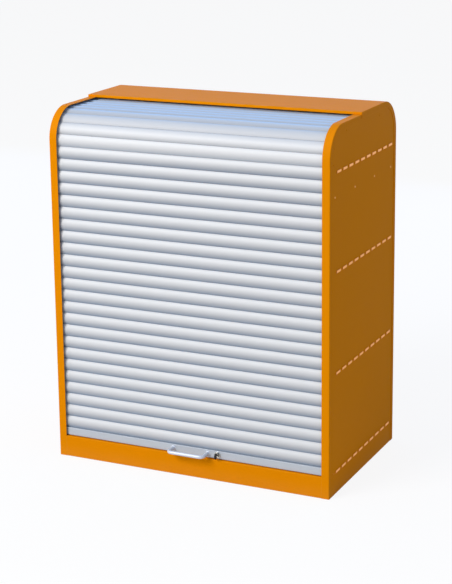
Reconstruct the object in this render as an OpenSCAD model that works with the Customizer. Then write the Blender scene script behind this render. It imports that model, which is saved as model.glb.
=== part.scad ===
// Steel storage cabinet with a tambour shutter that runs up its front, round the top corner
// and on under the top cover. Millimetres, +Z up, front faces -Y, origin on the floor
// under the middle of the cabinet.

/* [Carcass] */
// Width over the side panels
cabinet_w = 1000; // [800:10:1300]
// Depth from the plinth's face to the back cover
cabinet_d = 600; // [520:10:760]
// Height from the floor to the top cover
cabinet_h = 1220; // [1180:10:1500]
// Thickness of the folded sheet steel
sheet = 1.5; // [1:0.1:2]
// Radius of the side panels' upper corners
corner_r = 105; // [95:1:140]
// Width of the edge bands, seen from the front
stile_w = 27; // [25:0.5:40]
// Height of the plinth
plinth_h = 72; // [60:1:100]
// How far the top and back covers stand proud of the side panels
cover_rise = 8; // [6:0.5:12]
// Distance from the front face back to the top cover's front lip
cover_setback = 270; // [220:5:320]
// Length of the top cover's tail, down the back from the rounded corner
cover_tail = 200; // [100:10:400]
// How far the covers' skirts lap over the outside of the side panels
skirt_lap = 12; // [8:0.5:13]

/* [Shelves] */
// Height from one shelf to the next
shelf_spacing = 335; // [280:1:340]
// Depth of the folded lips under the shelves
shelf_lip = 25; // [15:1:40]
// Distance from the front face back to the shelves' front edges
shelf_setback = 45; // [42:1:60]
// Distance between the tabs' centres
tab_pitch = 52; // [40:1:60]
// Length of one tab
tab_len = 34; // [20:1:38]
// Distance from the front face back to the first tab's centre
tab_setback = 72; // [65:1:76]
// How far the tabs stand out of the side panels
tab_out = 2.5; // [1.5:0.5:4]

/* [Shutter] */
// Height of one slat, from joint to joint
slat_pitch = 41; // [34:0.5:48]
// Depth from the front face to the slats' crowns
curtain_inset = 8; // [6:0.5:10]
// Height of a slat's crown over the line of its joints
slat_crown = 6; // [4:0.5:7]
// Depth of a slat's back behind the line of its joints
slat_back = 4; // [3:0.5:5]
// Wall of the hollow slats
slat_wall = 1.2; // [0.8:0.1:1.6]
// Gap between neighbouring slats
slat_gap = 0.6; // [0.4:0.1:0.8]
// Length of curtain hidden behind the top cover's lip when the shutter is shut
curtain_lap = 80; // [60:10:160]
// Height of the bottom bar
bar_h = 27; // [22:1:30]
// Thickness of the bottom bar
bar_t = 12; // [10:0.5:13]
// Wall of the hollow bottom bar
bar_wall = 2; // [1.5:0.1:3]
// Height of the rubber seal under the bar
seal_h = 3; // [2:0.5:6]

/* [Guide tracks] */
// Wall of the track's two legs
track_wall = 2.5; // [2:0.1:3]
// Thickness of the track's web on the side panel
track_web = 2; // [1.5:0.1:3]
// Width of the track's screw flange
track_foot = 9.5; // [8:0.5:10]
// Height at which the rear legs of the tracks end
track_rear_z = 420; // [400:10:600]
// Distance between the track screws up the front
screw_pitch = 203; // [150:1:220]

/* [Handle] */
// Distance between the handle's posts
handle_centres = 128; // [96:32:160]
// Diameter of the handle's rod
handle_d = 12; // [8:1:14]
// Distance from the bar to the middle of the grip
handle_reach = 42; // [28:1:48]
// Radius of the handle's bends, at the middle of the rod
handle_bend_r = 14; // [12:1:18]

/* [Lock] */
// Distance from the handle's middle to the lock
lock_x = 100; // [95:1:140]
// Diameter of the lock's front flange
lock_flange_d = 22; // [20:0.5:22]
// Diameter of the lock's threaded barrel
lock_barrel_d = 16; // [14:0.5:17]
// Diameter of the turning plug
lock_plug_d = 11; // [9:0.5:12]
// Length of the cam from the lock's axis to its tip
cam_len = 24; // [20:1:26]
// Width of the cam
cam_w = 12; // [10:0.5:13]
// Thickness of the cam
cam_t = 2.5; // [2:0.1:3]
// Length of the key's blade
key_blade_len = 16; // [12:1:18]
// Width of the key's blade
key_blade_w = 7; // [5:0.5:7.5]
// Thickness of the key's blade
key_blade_t = 2.2; // [1.8:0.1:2.6]
// Diameter of the key's bow
key_bow_d = 20; // [18:1:28]

/* [Fasteners] */
// Diameter of the rivet and screw heads on the side panels
head_d = 7; // [5:0.5:8]
// Height of those heads
head_h = 1.2; // [0.8:0.1:2]
// Diameter of their shanks
shank_d = 4; // [3:0.2:4.4]
// Diameter of the rivets' closed tails
tail_d = 5.6; // [5:0.2:6]

/* [Hidden] */
$fn = 64;

// Clearances
seam = 0.3;
slip = 0.2;
bore_play = 0.05;
run_play = 1.5;
// Extra length of cuts, so that they break through
over = 1;

// Colours of the finishes
orange = [0.93, 0.55, 0.02];
silver = [0.80, 0.82, 0.85];
bar_grey = [0.74, 0.76, 0.78];
steel = [0.66, 0.67, 0.69];
zinc = [0.72, 0.70, 0.66];
black = [0.08, 0.08, 0.09];
nylon = [0.30, 0.31, 0.33];
rubber = [0.54, 0.54, 0.55];

// Carcass lines
half_w = cabinet_w / 2;
front_y = -cabinet_d / 2;
back_y = cabinet_d / 2;
side_d = cabinet_d - cover_rise;
side_h = cabinet_h - cover_rise;
side_back_y = front_y + side_d;
corner_z = side_h - corner_r;
corner_front_y = front_y + corner_r;
corner_rear_y = side_back_y - corner_r;
cover_front_y = front_y + cover_setback;
cover_seam_z = corner_z - cover_tail;
skirt_x = half_w + sheet;
inner_w = half_w - sheet;

// Track lines, as depths below the side panels' outline
track_outer = sheet + seam;
groove_outer = track_outer + track_wall;
groove_inner = curtain_inset + max(bar_t, slat_crown + slat_back) + run_play;
track_inner = groove_inner + track_wall;
track_flange = track_inner + track_foot;
track_screw_in = track_inner + track_foot / 2 - 1;
web_x = inner_w - track_web;
leg_x = half_w - stile_w + run_play;

// Curtain lines
joint_in = curtain_inset + slat_crown;
bar_z = plinth_h + seal_h;
bar_top = bar_z + bar_h;
front_run = corner_z - bar_top;
front_count = floor(front_run / slat_pitch);
joint_r = corner_r - joint_in;
corner_run = joint_r * PI / 2;
top_run = cover_setback - corner_r + curtain_lap;
upper_count = ceil((front_run + corner_run + top_run) / slat_pitch) - front_count;
corner_count = ceil((front_run + corner_run) / slat_pitch) - front_count;
runner_t = 4;
runner_len = 10;
slat_half = web_x - run_play - runner_t;
slat_edge = 0.5;
slat_bevel = 4;
bevel_share = 0.6;
slat_chord = slat_pitch - slat_gap;
slat_sag = slat_crown - slat_edge;
slat_crown_r = (slat_chord * slat_chord / 4 + slat_sag * slat_sag) / (2 * slat_sag);
tail_w = 20;

// Shelf lines
shelf_x = web_x - slip * 2;
shelf_front_y = front_y + shelf_setback;
inner_back_gap = 4;
inner_back_y = side_back_y - track_inner - sheet - inner_back_gap;
ceiling_level = 3;
ceiling_drop = 150;
tab_run = side_d - track_flange - over - tab_setback - tab_len / 2;
tab_count = floor(tab_run / tab_pitch) + 1;
function shelf_z(level) = level == ceiling_level
    ? side_h - ceiling_drop
    : plinth_h - sheet + level * shelf_spacing;
function tab_y(i) = front_y + tab_setback + i * tab_pitch;

// Bar, handle and lock lines
bar_y = front_y + curtain_inset;
bar_back_y = bar_y + bar_t;
bar_mid_z = bar_z + bar_h / 2;
foot_d = handle_d + 4;
foot_t = 2;
handle_screw_d = 5;
handle_screw_in = 12;
handle_screw_head_d = 9;
handle_screw_head_h = 2.5;
handle_bore = handle_screw_d + 2 * bore_play;
lock_bore = lock_barrel_d + 2 * bore_play;
plug_bore = lock_plug_d + 2 * bore_play;
lock_chamfer = 1;
lock_flange_t = 3;
lock_tail = 20;
lock_face_y = bar_y - lock_flange_t;
barrel_end_y = bar_y + lock_tail;
cam_y = barrel_end_y + slip * 2;
cam_square = (lock_plug_d - 1) / sqrt(2);
cam_hole = cam_square + 2 * bore_play;
nut_across = lock_barrel_d + 3;
nut_t = 5;
key_bow_gap = 2;
key_base_y = lock_face_y - key_bow_gap;
keyway_end_y = key_base_y + key_blade_len + slip;
plug_web = 2;
cam_screw_d = 4;
cam_screw_bore = cam_screw_d + 2 * bore_play;
cam_screw_head_d = 10;
cam_screw_head_h = 2.5;
cam_screw_end_y = keyway_end_y + plug_web;
keyway_t = key_blade_t + 2 * slip;
keyway_w = key_blade_w + 2 * slip;
key_neck = 3;
key_bow_t = 4;
cam_slot_play = 2;
cam_slot_reach = 2.5;
striker_t = 4;
striker_cover = 1;
striker_foot_t = 2;
striker_post_x = lock_x + cam_len + striker_t;
striker_hook_z = bar_mid_z + cam_w / 2 + run_play;
striker_hook_len = 16;
striker_foot = 22;
striker_screw_d = 4;
striker_bore = striker_screw_d + 2 * bore_play;
striker_head_d = 6.4;
striker_head_h = 2;
striker_screw_shares = [0.35, 0.8];

// Rows of fasteners
screw_bore = shank_d + 2 * bore_play;
head_top_d = head_d - 2 * head_h;
rivet_drop = 74;
rivet_z = shelf_z(ceiling_level) - rivet_drop;
rivet_shares = [0.07, 0.363, 0.664];
rivet_rear_in = 40;
stiffener_w = 26;
stiffener_t = 2;
front_screw_rise = 6;
front_screw_z0 = plinth_h + front_screw_rise;
front_screw_count = floor((corner_z - front_screw_z0) / screw_pitch) + 1;
corner_screw_angle = 28;
top_screw_front_in = 36;
top_screw_rear_in = 52;
cover_screw_in = 14;
cover_screw_count = 4;
floor_return = 38;
ledge_back_y = shelf_front_y - seam;
rail_h = plinth_h - sheet - seam;
rail_w = 26;
brace_w = 40;
plinth_lap = 20;
plinth_end_x = half_w - stile_w - seam;

// Placing helpers
// A profile drawn in depth and height, drawn out across the cabinet from x0 to x1
module across(x0, x1) {
    translate([x0, 0, 0]) rotate([90, 0, 90]) linear_extrude(x1 - x0) children();
}

// A cuboid between two corners
module block(low, high) {
    translate(low) cube(high - low);
}

// A round bar along the depth, from y0 to y1
module depth_rod(x, z, y0, y1, d) {
    translate([x, y0, z]) rotate([-90, 0, 0]) cylinder(h = y1 - y0, d = d);
}

// The same with a taper, from d at y0 to d_end at y1
module depth_cone(x, z, y0, y1, d, d_end) {
    translate([x, y0, z]) rotate([-90, 0, 0]) cylinder(h = y1 - y0, d1 = d, d2 = d_end);
}

// The side panels' outline, moved in by a depth
module side_outline(inset) {
    translate([front_y + inset, 0]) square([side_d - 2 * inset, corner_z]);
    translate([corner_front_y, 0]) square([corner_rear_y - corner_front_y, side_h - inset]);
    for (y = [corner_front_y, corner_rear_y])
        translate([y, corner_z]) circle(corner_r - inset);
}

// The strip of the outline between two depths, open at the floor
module outline_strip(outer, inner) {
    difference() {
        side_outline(outer);
        side_outline(inner);
    }
}

// Side panels with their slots and holes, modelled on the right
function track_screw_places() = concat(
    [for (k = [0 : front_screw_count - 1]) [front_y + track_screw_in, front_screw_z0 + k * screw_pitch]],
    [[corner_front_y - (corner_r - track_screw_in) * cos(corner_screw_angle),
      corner_z + (corner_r - track_screw_in) * sin(corner_screw_angle)]],
    [for (y = [corner_front_y + top_screw_front_in, corner_rear_y - top_screw_rear_in])
        [y, side_h - track_screw_in]]);
function rivet_places() = concat(
    [for (share = rivet_shares) [front_y + share * side_d, rivet_z]],
    [[side_back_y - rivet_rear_in, rivet_z]]);

module side_panel() {
    color(orange) across(inner_w, half_w) difference() {
        side_outline(0);
        for (level = [0 : ceiling_level], i = [0 : tab_count - 1])
            translate([tab_y(i) - tab_len / 2 - slip, shelf_z(level) - slip])
                square([tab_len + 2 * slip, sheet + 2 * slip]);
        for (p = concat(track_screw_places(), rivet_places()))
            translate(p) circle(d = screw_bore);
    }
}
module left_side_panel() { mirror([1, 0, 0]) side_panel(); }
module right_side_panel() { side_panel(); }

module edge_band() {
    color(orange) difference() {
        across(half_w - stile_w, inner_w) outline_strip(0, sheet);
        for (z = cover_screw_heights())
            depth_rod(half_w - cover_screw_in, z, side_back_y - 2 * sheet, side_back_y + sheet, screw_bore);
    }
}
module left_edge_band() { mirror([1, 0, 0]) edge_band(); }
module right_edge_band() { edge_band(); }

// Guide tracks: a web on the side panel with two legs that hold the slats' ends
module track_span() {
    intersection() {
        children();
        union() {
            translate([front_y, plinth_h]) square([side_d / 2, side_h]);
            translate([front_y + side_d / 2 - over, track_rear_z]) square([side_d / 2 + over, side_h]);
        }
    }
}
module guide_track() {
    color(nylon) difference() {
        union() {
            across(web_x, inner_w) track_span() outline_strip(track_outer, track_flange);
            across(leg_x, inner_w) track_span() outline_strip(track_outer, groove_outer);
            across(leg_x, inner_w) track_span() outline_strip(groove_inner, track_inner);
        }
        for (p = track_screw_places())
            translate([web_x - over, p[0], p[1]]) rotate([0, 90, 0])
                cylinder(h = track_web + 2 * over, d = screw_bore);
    }
}
module left_guide_track() { mirror([1, 0, 0]) guide_track(); }
module right_guide_track() { guide_track(); }

// A flat bar riveted inside each side panel, under the ceiling
module stiffener() {
    color(orange) across(inner_w - stiffener_t, inner_w) difference() {
        translate([front_y + track_flange + seam, rivet_z - stiffener_w / 2])
            square([side_d - 2 * track_flange - 2 * seam, stiffener_w]);
        for (p = rivet_places()) translate(p) circle(d = screw_bore);
    }
}
module left_stiffener() { mirror([1, 0, 0]) stiffener(); }
module right_stiffener() { stiffener(); }

// A row of low-headed fasteners through the side panel and what lies behind it
module side_fasteners(places, grip) {
    for (p = places) translate([half_w, p[0], p[1]]) rotate([0, 90, 0]) {
        cylinder(h = head_h, d1 = head_d, d2 = head_top_d);
        translate([0, 0, -grip]) cylinder(h = grip, d = shank_d);
        translate([0, 0, -grip - head_h]) cylinder(h = head_h, d = tail_d);
    }
}
module left_rivets() {
    color(orange) mirror([1, 0, 0]) side_fasteners(rivet_places(), sheet + stiffener_t);
}
module right_rivets() { color(orange) side_fasteners(rivet_places(), sheet + stiffener_t); }
module left_track_screws() {
    color(orange) mirror([1, 0, 0]) side_fasteners(track_screw_places(), sheet + track_web);
}
module right_track_screws() { color(orange) side_fasteners(track_screw_places(), sheet + track_web); }

// Top cover: a raised sheet from its front lip over the rear corner and a little way down the back
module cover_span(front) {
    intersection() {
        children();
        union() {
            translate([front, corner_z]) square([back_y - front, cabinet_h - corner_z]);
            translate([corner_rear_y, cover_seam_z]) square([back_y - corner_rear_y, cabinet_h]);
        }
    }
}
module top_cover() {
    color(orange) {
        across(-skirt_x, skirt_x) cover_span(cover_front_y) outline_strip(-cover_rise, sheet - cover_rise);
        for (s = [0, 1]) mirror([s, 0, 0])
            across(half_w, skirt_x) cover_span(cover_front_y) outline_strip(-cover_rise, skirt_lap);
        block([-skirt_x, cover_front_y, side_h + slip], [skirt_x, cover_front_y + sheet, cabinet_h]);
        block([-half_w + stile_w + seam, cover_front_y, side_h - curtain_inset / 2],
            [half_w - stile_w - seam, cover_front_y + sheet, cabinet_h]);
    }
}

// Back panel: a shallow tray below the top cover's tail
function cover_screw_heights() = [for (k = [0 : cover_screw_count - 1])
    plinth_h + k * (cover_seam_z - 2 * plinth_h) / (cover_screw_count - 1)];
module back_panel() {
    color(orange) difference() {
        union() {
            block([-skirt_x, back_y - sheet, 0], [skirt_x, back_y, cover_seam_z - seam]);
            for (s = [0, 1]) mirror([s, 0, 0])
                block([half_w, side_back_y - skirt_lap, 0], [skirt_x, back_y, cover_seam_z - seam]);
            block([-skirt_x, side_back_y + slip, 0], [skirt_x, back_y, sheet]);
        }
        for (z = cover_screw_heights(), s = [-1, 1])
            depth_rod(s * (half_w - cover_screw_in), z, back_y - 2 * sheet, back_y + sheet, screw_bore);
    }
}
module cover_screws() {
    color(zinc) for (z = cover_screw_heights(), s = [-1, 1]) {
        depth_cone(s * (half_w - cover_screw_in), z, back_y, back_y + head_h, head_d, head_top_d);
        depth_rod(s * (half_w - cover_screw_in), z, side_back_y - sheet, back_y, shank_d);
    }
}

// Inside walls and shelves
module inner_back_panel() {
    color(orange) block([-shelf_x, inner_back_y, plinth_h],
        [shelf_x, inner_back_y + sheet, shelf_z(ceiling_level)]);
}
module shelf(level, back_reach) {
    z = shelf_z(level);
    color(orange) {
        block([-shelf_x, shelf_front_y, z], [shelf_x, inner_back_y + back_reach, z + sheet]);
        block([-shelf_x, shelf_front_y, z - shelf_lip], [shelf_x, shelf_front_y + sheet, z + sheet]);
        for (i = [0 : tab_count - 1])
            block([-half_w - tab_out, tab_y(i) - tab_len / 2, z],
                [half_w + tab_out, tab_y(i) + tab_len / 2, z + sheet]);
    }
}
module inner_ceiling() { shelf(ceiling_level, sheet); }
module upper_shelf() { shelf(2, 0); }
module lower_shelf() { shelf(1, 0); }
module base_shelf() { shelf(0, sheet); }

// Plinth: front face, top ledge with a slot for the lock's cam, floor flange and lapped ends
module plinth() {
    color(orange) difference() {
        union() {
            block([-plinth_end_x, front_y, 0], [plinth_end_x, front_y + sheet, plinth_h]);
            block([-plinth_end_x, front_y, plinth_h - sheet], [plinth_end_x, ledge_back_y, plinth_h]);
            block([-plinth_end_x, front_y, 0], [plinth_end_x, front_y + floor_return, sheet]);
            for (s = [0, 1]) mirror([s, 0, 0])
                block([plinth_end_x - plinth_lap, front_y + sheet, 2 * sheet],
                    [plinth_end_x + plinth_lap, front_y + 2 * sheet, plinth_h - 2 * sheet]);
        }
        block([lock_x - cam_w / 2 - cam_slot_reach, cam_y - cam_slot_play, plinth_h - 2 * sheet],
            [lock_x + cam_len + cam_slot_reach, cam_y + cam_t + cam_slot_play, plinth_h + sheet]);
        for (x = striker_screw_xs())
            translate([x, cam_y + cam_t / 2, plinth_h - 2 * sheet])
                cylinder(h = 3 * sheet, d = striker_bore);
    }
}

// Base frame under the base shelf
module side_rail() {
    color(orange) {
        block([inner_w - sheet, front_y + floor_return + seam, 0],
            [inner_w, inner_back_y, rail_h - shelf_lip]);
        block([inner_w - rail_w, front_y + floor_return + seam, 0], [inner_w, inner_back_y, sheet]);
    }
}
module left_base_rail() { mirror([1, 0, 0]) side_rail(); }
module right_base_rail() { side_rail(); }
module rear_base_rail() {
    color(orange) {
        block([-shelf_x, inner_back_y + seam, 0], [shelf_x, inner_back_y + seam + sheet, rail_h + seam]);
        block([-shelf_x, inner_back_y + seam, 0], [shelf_x, side_back_y - 2 * sheet, sheet]);
    }
}
module base_brace() {
    color(orange) {
        block([-brace_w / 2, front_y + floor_return + seam, 0], [brace_w / 2, inner_back_y, sheet]);
        for (s = [0, 1]) mirror([s, 0, 0])
            block([brace_w / 2 - sheet, front_y + shelf_setback + 2 * sheet, 0],
                [brace_w / 2, inner_back_y, rail_h + seam]);
    }
}

// Striker: a foot on the plinth's ledge, a post and a hook over the cam's locked place
function striker_screw_xs() = [for (k = striker_screw_shares) striker_post_x + k * striker_foot];
module striker() {
    low_y = cam_y - striker_cover;
    high_y = cam_y + cam_t + striker_cover;
    hook_top = striker_hook_z + striker_t;
    post_end = striker_post_x + striker_t;
    color(steel) difference() {
        union() {
            block([striker_post_x, low_y - striker_cover, plinth_h],
                [striker_post_x + striker_foot, high_y + striker_cover, plinth_h + striker_foot_t]);
            block([striker_post_x, low_y, plinth_h], [post_end, high_y, hook_top]);
            block([post_end - striker_hook_len, low_y, striker_hook_z], [post_end, high_y, hook_top]);
        }
        for (x = striker_screw_xs())
            translate([x, cam_y + cam_t / 2, plinth_h - over])
                cylinder(h = striker_foot_t + 2 * over, d = striker_bore);
    }
}
module striker_screws() {
    color(zinc) for (x = striker_screw_xs())
        translate([x, cam_y + cam_t / 2, plinth_h + striker_foot_t]) {
            cylinder(h = striker_head_h, d = striker_head_d);
            translate([0, 0, -striker_foot_t - 3 * sheet])
                cylinder(h = striker_foot_t + 3 * sheet, d = striker_screw_d);
        }
}

// Tambour curtain: slats are chords of the joint line, which runs up, round the corner and back
function joint_at(s) =
    s <= front_run ? [front_y + joint_in, bar_top + s] :
    s <= front_run + corner_run ?
        [corner_front_y - joint_r * cos((s - front_run) / joint_r * 180 / PI),
         corner_z + joint_r * sin((s - front_run) / joint_r * 180 / PI)] :
        [corner_front_y + s - front_run - corner_run, corner_z + joint_r];

// Section of one slat, along u from joint to joint and out along v, moved in by a wall
module slat_section(length, wall) {
    e = slat_gap / 2 + wall;
    b = slat_bevel + wall * bevel_share;
    top = slat_crown + over;
    intersection() {
        translate([length / 2, slat_crown - slat_crown_r]) circle(slat_crown_r - wall, $fn = 128);
        polygon([[e, top], [e, -slat_edge], [b, wall - slat_back], [length - b, wall - slat_back],
            [length - e, -slat_edge], [length - e, top]]);
    }
}
module on_slat(k, x0, x1) {
    a = joint_at(k * slat_pitch);
    d = joint_at((k + 1) * slat_pitch) - a;
    translate([0, a[0], a[1]]) rotate([atan2(d[1], d[0]), 0, 0])
        across(x0, x1) children();
}
function chord(k) = norm(joint_at((k + 1) * slat_pitch) - joint_at(k * slat_pitch));
module slat(k) {
    on_slat(k, -slat_half, slat_half) difference() {
        slat_section(chord(k), 0);
        slat_section(chord(k), slat_wall);
    }
}

// A pair of nylon runners on the joint below slat k, which fill the tracks' grooves
function joint_turn(s) = min(90, max(0, (s - front_run) / joint_r * 180 / PI));
module runners(k) {
    a = joint_at(k * slat_pitch);
    for (m = [0, 1]) mirror([m, 0, 0])
        translate([slat_half, a[0], a[1]]) rotate([-joint_turn(k * slat_pitch), 0, 0])
            block([0, groove_outer + seam - joint_in, -runner_len / 2],
                [runner_t, groove_inner - seam - joint_in, runner_len / 2]);
}
module front_slats() { color(silver) for (k = [0 : front_count - 1]) slat(k); }
module front_runners() { color(nylon) for (k = [1 : front_count - 1]) runners(k); }
module corner_slats() {
    color(silver) for (k = [front_count : front_count + corner_count - 1]) slat(k);
}
module top_slats() {
    color(silver) for (k = [front_count + corner_count : front_count + upper_count - 1]) slat(k);
}
module upper_runners() {
    color(nylon) for (k = [front_count : front_count + upper_count]) runners(k);
}
module tail_bar() {
    a = joint_at((front_count + upper_count) * slat_pitch);
    color(bar_grey) block([-slat_half, a[0] + slat_gap, a[1] - slat_back],
        [slat_half, a[0] + slat_gap + tail_w, a[1] + slat_crown]);
}

// Bottom bar and what it carries
module bottom_bar() {
    color(bar_grey) difference() {
        block([-slat_half, bar_y, bar_z], [slat_half, bar_back_y, bar_top - slat_gap]);
        block([-slat_half - over, bar_y + bar_wall, bar_z + bar_wall],
            [slat_half + over, bar_back_y - bar_wall, bar_top - slat_gap - bar_wall]);
        for (s = [-1, 1])
            depth_rod(s * handle_centres / 2, bar_mid_z, bar_y - over, bar_back_y + over, handle_bore);
        depth_rod(lock_x, bar_mid_z, bar_y - over, bar_back_y + over, lock_bore);
    }
}
module bar_seal() {
    color(rubber) block([-plinth_end_x + run_play, bar_y + bar_t / 4, plinth_h + seam],
        [plinth_end_x - run_play, bar_back_y - bar_t / 4, bar_z]);
}
module bar_end_caps() {
    color(nylon) for (s = [0, 1]) mirror([s, 0, 0])
        block([slat_half, front_y + groove_outer + seam, bar_z],
            [slat_half + runner_t, front_y + groove_inner - seam, bar_top - slat_gap]);
}

// Handle: a round rod bent into a bow, on two feet
module handle() {
    half = handle_centres / 2;
    leg_end = bar_y - handle_reach + handle_bend_r;
    grip_y = bar_y - handle_reach;
    color(steel) difference() {
        union() {
            for (s = [0, 1]) mirror([s, 0, 0]) {
                depth_cone(half, bar_mid_z, bar_y - foot_t, bar_y, handle_d, foot_d);
                depth_rod(half, bar_mid_z, leg_end, bar_y, handle_d);
                translate([half - handle_bend_r, leg_end, bar_mid_z])
                    rotate([0, 0, -90]) rotate_extrude(angle = 90)
                        translate([handle_bend_r, 0]) circle(d = handle_d);
            }
            translate([-half + handle_bend_r, grip_y, bar_mid_z]) rotate([0, 90, 0])
                cylinder(h = 2 * (half - handle_bend_r), d = handle_d);
        }
        for (s = [-1, 1])
            depth_rod(s * half, bar_mid_z, bar_y - handle_screw_in - over, bar_y + over, handle_bore);
    }
}
module handle_screws() {
    color(zinc) for (s = [-1, 1]) {
        depth_rod(s * handle_centres / 2, bar_mid_z, bar_y - handle_screw_in, bar_back_y, handle_screw_d);
        depth_cone(s * handle_centres / 2, bar_mid_z, bar_back_y, bar_back_y + handle_screw_head_h,
            handle_screw_head_d, handle_screw_head_d - 1);
    }
}

// Cam lock
module lock_housing() {
    color(steel) difference() {
        union() {
            depth_cone(lock_x, bar_mid_z, lock_face_y, lock_face_y + lock_chamfer,
                lock_flange_d - 2 * lock_chamfer, lock_flange_d);
            depth_rod(lock_x, bar_mid_z, lock_face_y + lock_chamfer, bar_y, lock_flange_d);
            depth_rod(lock_x, bar_mid_z, bar_y, barrel_end_y, lock_barrel_d);
        }
        depth_rod(lock_x, bar_mid_z, lock_face_y - over, barrel_end_y + over, plug_bore);
    }
}
module lock_nut() {
    color(zinc) translate([lock_x, bar_back_y, bar_mid_z]) rotate([-90, 0, 0]) difference() {
        cylinder(h = nut_t, d = nut_across / cos(30), $fn = 6);
        translate([0, 0, -over]) cylinder(h = nut_t + 2 * over, d = lock_bore);
    }
}
module lock_plug() {
    color(zinc) difference() {
        union() {
            depth_rod(lock_x, bar_mid_z, lock_face_y, cam_y, lock_plug_d);
            block([lock_x - cam_square / 2, cam_y - over, bar_mid_z - cam_square / 2],
                [lock_x + cam_square / 2, cam_y + cam_t, bar_mid_z + cam_square / 2]);
        }
        block([lock_x - keyway_t / 2, lock_face_y - over, bar_mid_z - keyway_w / 2],
            [lock_x + keyway_t / 2, keyway_end_y, bar_mid_z + keyway_w / 2]);
        depth_rod(lock_x, bar_mid_z, cam_screw_end_y - slip, cam_y + cam_t + over, cam_screw_bore);
    }
}
module lock_cam() {
    color(steel) difference() {
        union() {
            depth_rod(lock_x, bar_mid_z, cam_y, cam_y + cam_t, cam_w);
            block([lock_x - cam_w / 2, cam_y, bar_mid_z - cam_len],
                [lock_x + cam_w / 2, cam_y + cam_t, bar_mid_z]);
        }
        block([lock_x - cam_hole / 2, cam_y - over, bar_mid_z - cam_hole / 2],
            [lock_x + cam_hole / 2, cam_y + cam_t + over, bar_mid_z + cam_hole / 2]);
    }
}
module cam_screw() {
    color(zinc) {
        depth_cone(lock_x, bar_mid_z, cam_y + cam_t, cam_y + cam_t + cam_screw_head_h,
            cam_screw_head_d, cam_screw_head_d - 2);
        depth_rod(lock_x, bar_mid_z, cam_screw_end_y, cam_y + cam_t, cam_screw_d);
    }
}

// Key, standing in the plug with its bow in front
module key_blade() {
    color(steel) block([lock_x - key_blade_t / 2, key_base_y - key_neck, bar_mid_z - key_blade_w / 2],
        [lock_x + key_blade_t / 2, key_base_y + key_blade_len, bar_mid_z + key_blade_w / 2]);
}
module key_bow() {
    bow_y = key_base_y - key_bow_d / 2;
    color(black) difference() {
        translate([lock_x - key_bow_t / 2, bow_y, bar_mid_z]) rotate([0, 90, 0])
            cylinder(h = key_bow_t, d = key_bow_d);
        translate([lock_x - key_bow_t, bow_y - key_bow_d / 4, bar_mid_z]) rotate([0, 90, 0])
            cylinder(h = 2 * key_bow_t, d = key_bow_d / 4);
        block([lock_x - key_blade_t / 2 - bore_play, key_base_y - key_neck - bore_play,
                bar_mid_z - key_blade_w / 2 - bore_play],
            [lock_x + key_blade_t / 2 + bore_play, lock_face_y, bar_mid_z + key_blade_w / 2 + bore_play]);
    }
}

left_side_panel();
right_side_panel();
left_edge_band();
right_edge_band();
left_guide_track();
right_guide_track();
left_stiffener();
right_stiffener();
left_rivets();
right_rivets();
left_track_screws();
right_track_screws();
top_cover();
back_panel();
cover_screws();
inner_back_panel();
inner_ceiling();
upper_shelf();
lower_shelf();
base_shelf();
plinth();
rear_base_rail();
left_base_rail();
right_base_rail();
base_brace();
striker();
striker_screws();
front_slats();
front_runners();
corner_slats();
top_slats();
upper_runners();
tail_bar();
bottom_bar();
bar_seal();
bar_end_caps();
handle();
handle_screws();
lock_housing();
lock_nut();
lock_plug();
lock_cam();
cam_screw();
key_blade();
key_bow();
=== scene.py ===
# %% [markdown]
# # A steel cabinet with a tambour shutter
#
# The cabinet is folded sheet steel with an orange stove enamel. Its shutter is a curtain of silver slats
# that runs in two tracks: up the front, round the top corner and back under a raised top cover.
#
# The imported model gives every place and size. It is loaded first, and each visible piece is then modelled
# around it, in metres, so nothing has to be fitted afterwards.

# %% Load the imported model
import math

import bmesh
import bpy
from mathutils import Matrix, Vector


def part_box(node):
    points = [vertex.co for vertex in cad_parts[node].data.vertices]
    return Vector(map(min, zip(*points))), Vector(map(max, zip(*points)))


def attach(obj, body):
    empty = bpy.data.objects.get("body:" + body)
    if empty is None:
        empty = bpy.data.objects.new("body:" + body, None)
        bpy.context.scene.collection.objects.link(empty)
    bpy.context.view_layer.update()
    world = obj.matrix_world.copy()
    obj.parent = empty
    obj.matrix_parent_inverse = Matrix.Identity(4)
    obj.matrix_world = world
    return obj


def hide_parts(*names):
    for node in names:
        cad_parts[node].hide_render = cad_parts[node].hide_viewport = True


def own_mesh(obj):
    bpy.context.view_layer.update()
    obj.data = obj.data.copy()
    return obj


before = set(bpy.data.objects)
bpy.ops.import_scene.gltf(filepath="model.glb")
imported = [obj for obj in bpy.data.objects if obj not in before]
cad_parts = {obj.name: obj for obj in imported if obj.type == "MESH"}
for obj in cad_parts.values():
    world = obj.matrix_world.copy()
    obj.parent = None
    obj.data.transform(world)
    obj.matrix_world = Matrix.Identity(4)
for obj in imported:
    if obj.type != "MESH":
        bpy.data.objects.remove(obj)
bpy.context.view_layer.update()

scene = bpy.context.scene
MM = 0.001

# %% [markdown]
# ## Camera
#
# The picture was taken from the cabinet's right, a little above its top, with a long lens. The three angles
# and the focal length come from the cabinet's straight edges in the picture. The lens axis meets the picture
# above its middle, so a part of the look down is made by shifting the frame in place of tilting the camera.
# That keeps the uprights more nearly upright, as a lens for buildings and furniture does.

# %% Set up the camera
IMAGE_H = 584
AXIS_ROW = 222
FOCAL_PX = 1668.3
SENSOR = 36.0
CAMERA_AT = Vector((2.3513, -4.9674, 2.1253))
YAW, PITCH, ROLL = (math.radians(a) for a in (25.304, 13.487, -0.655))

ahead = Vector((-math.sin(YAW) * math.cos(PITCH), math.cos(YAW) * math.cos(PITCH), -math.sin(PITCH)))
level = Vector((math.cos(YAW), math.sin(YAW), 0))
upward = level.cross(ahead)
across = math.cos(ROLL) * level + math.sin(ROLL) * upward
upward = math.cos(ROLL) * upward - math.sin(ROLL) * level

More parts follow.
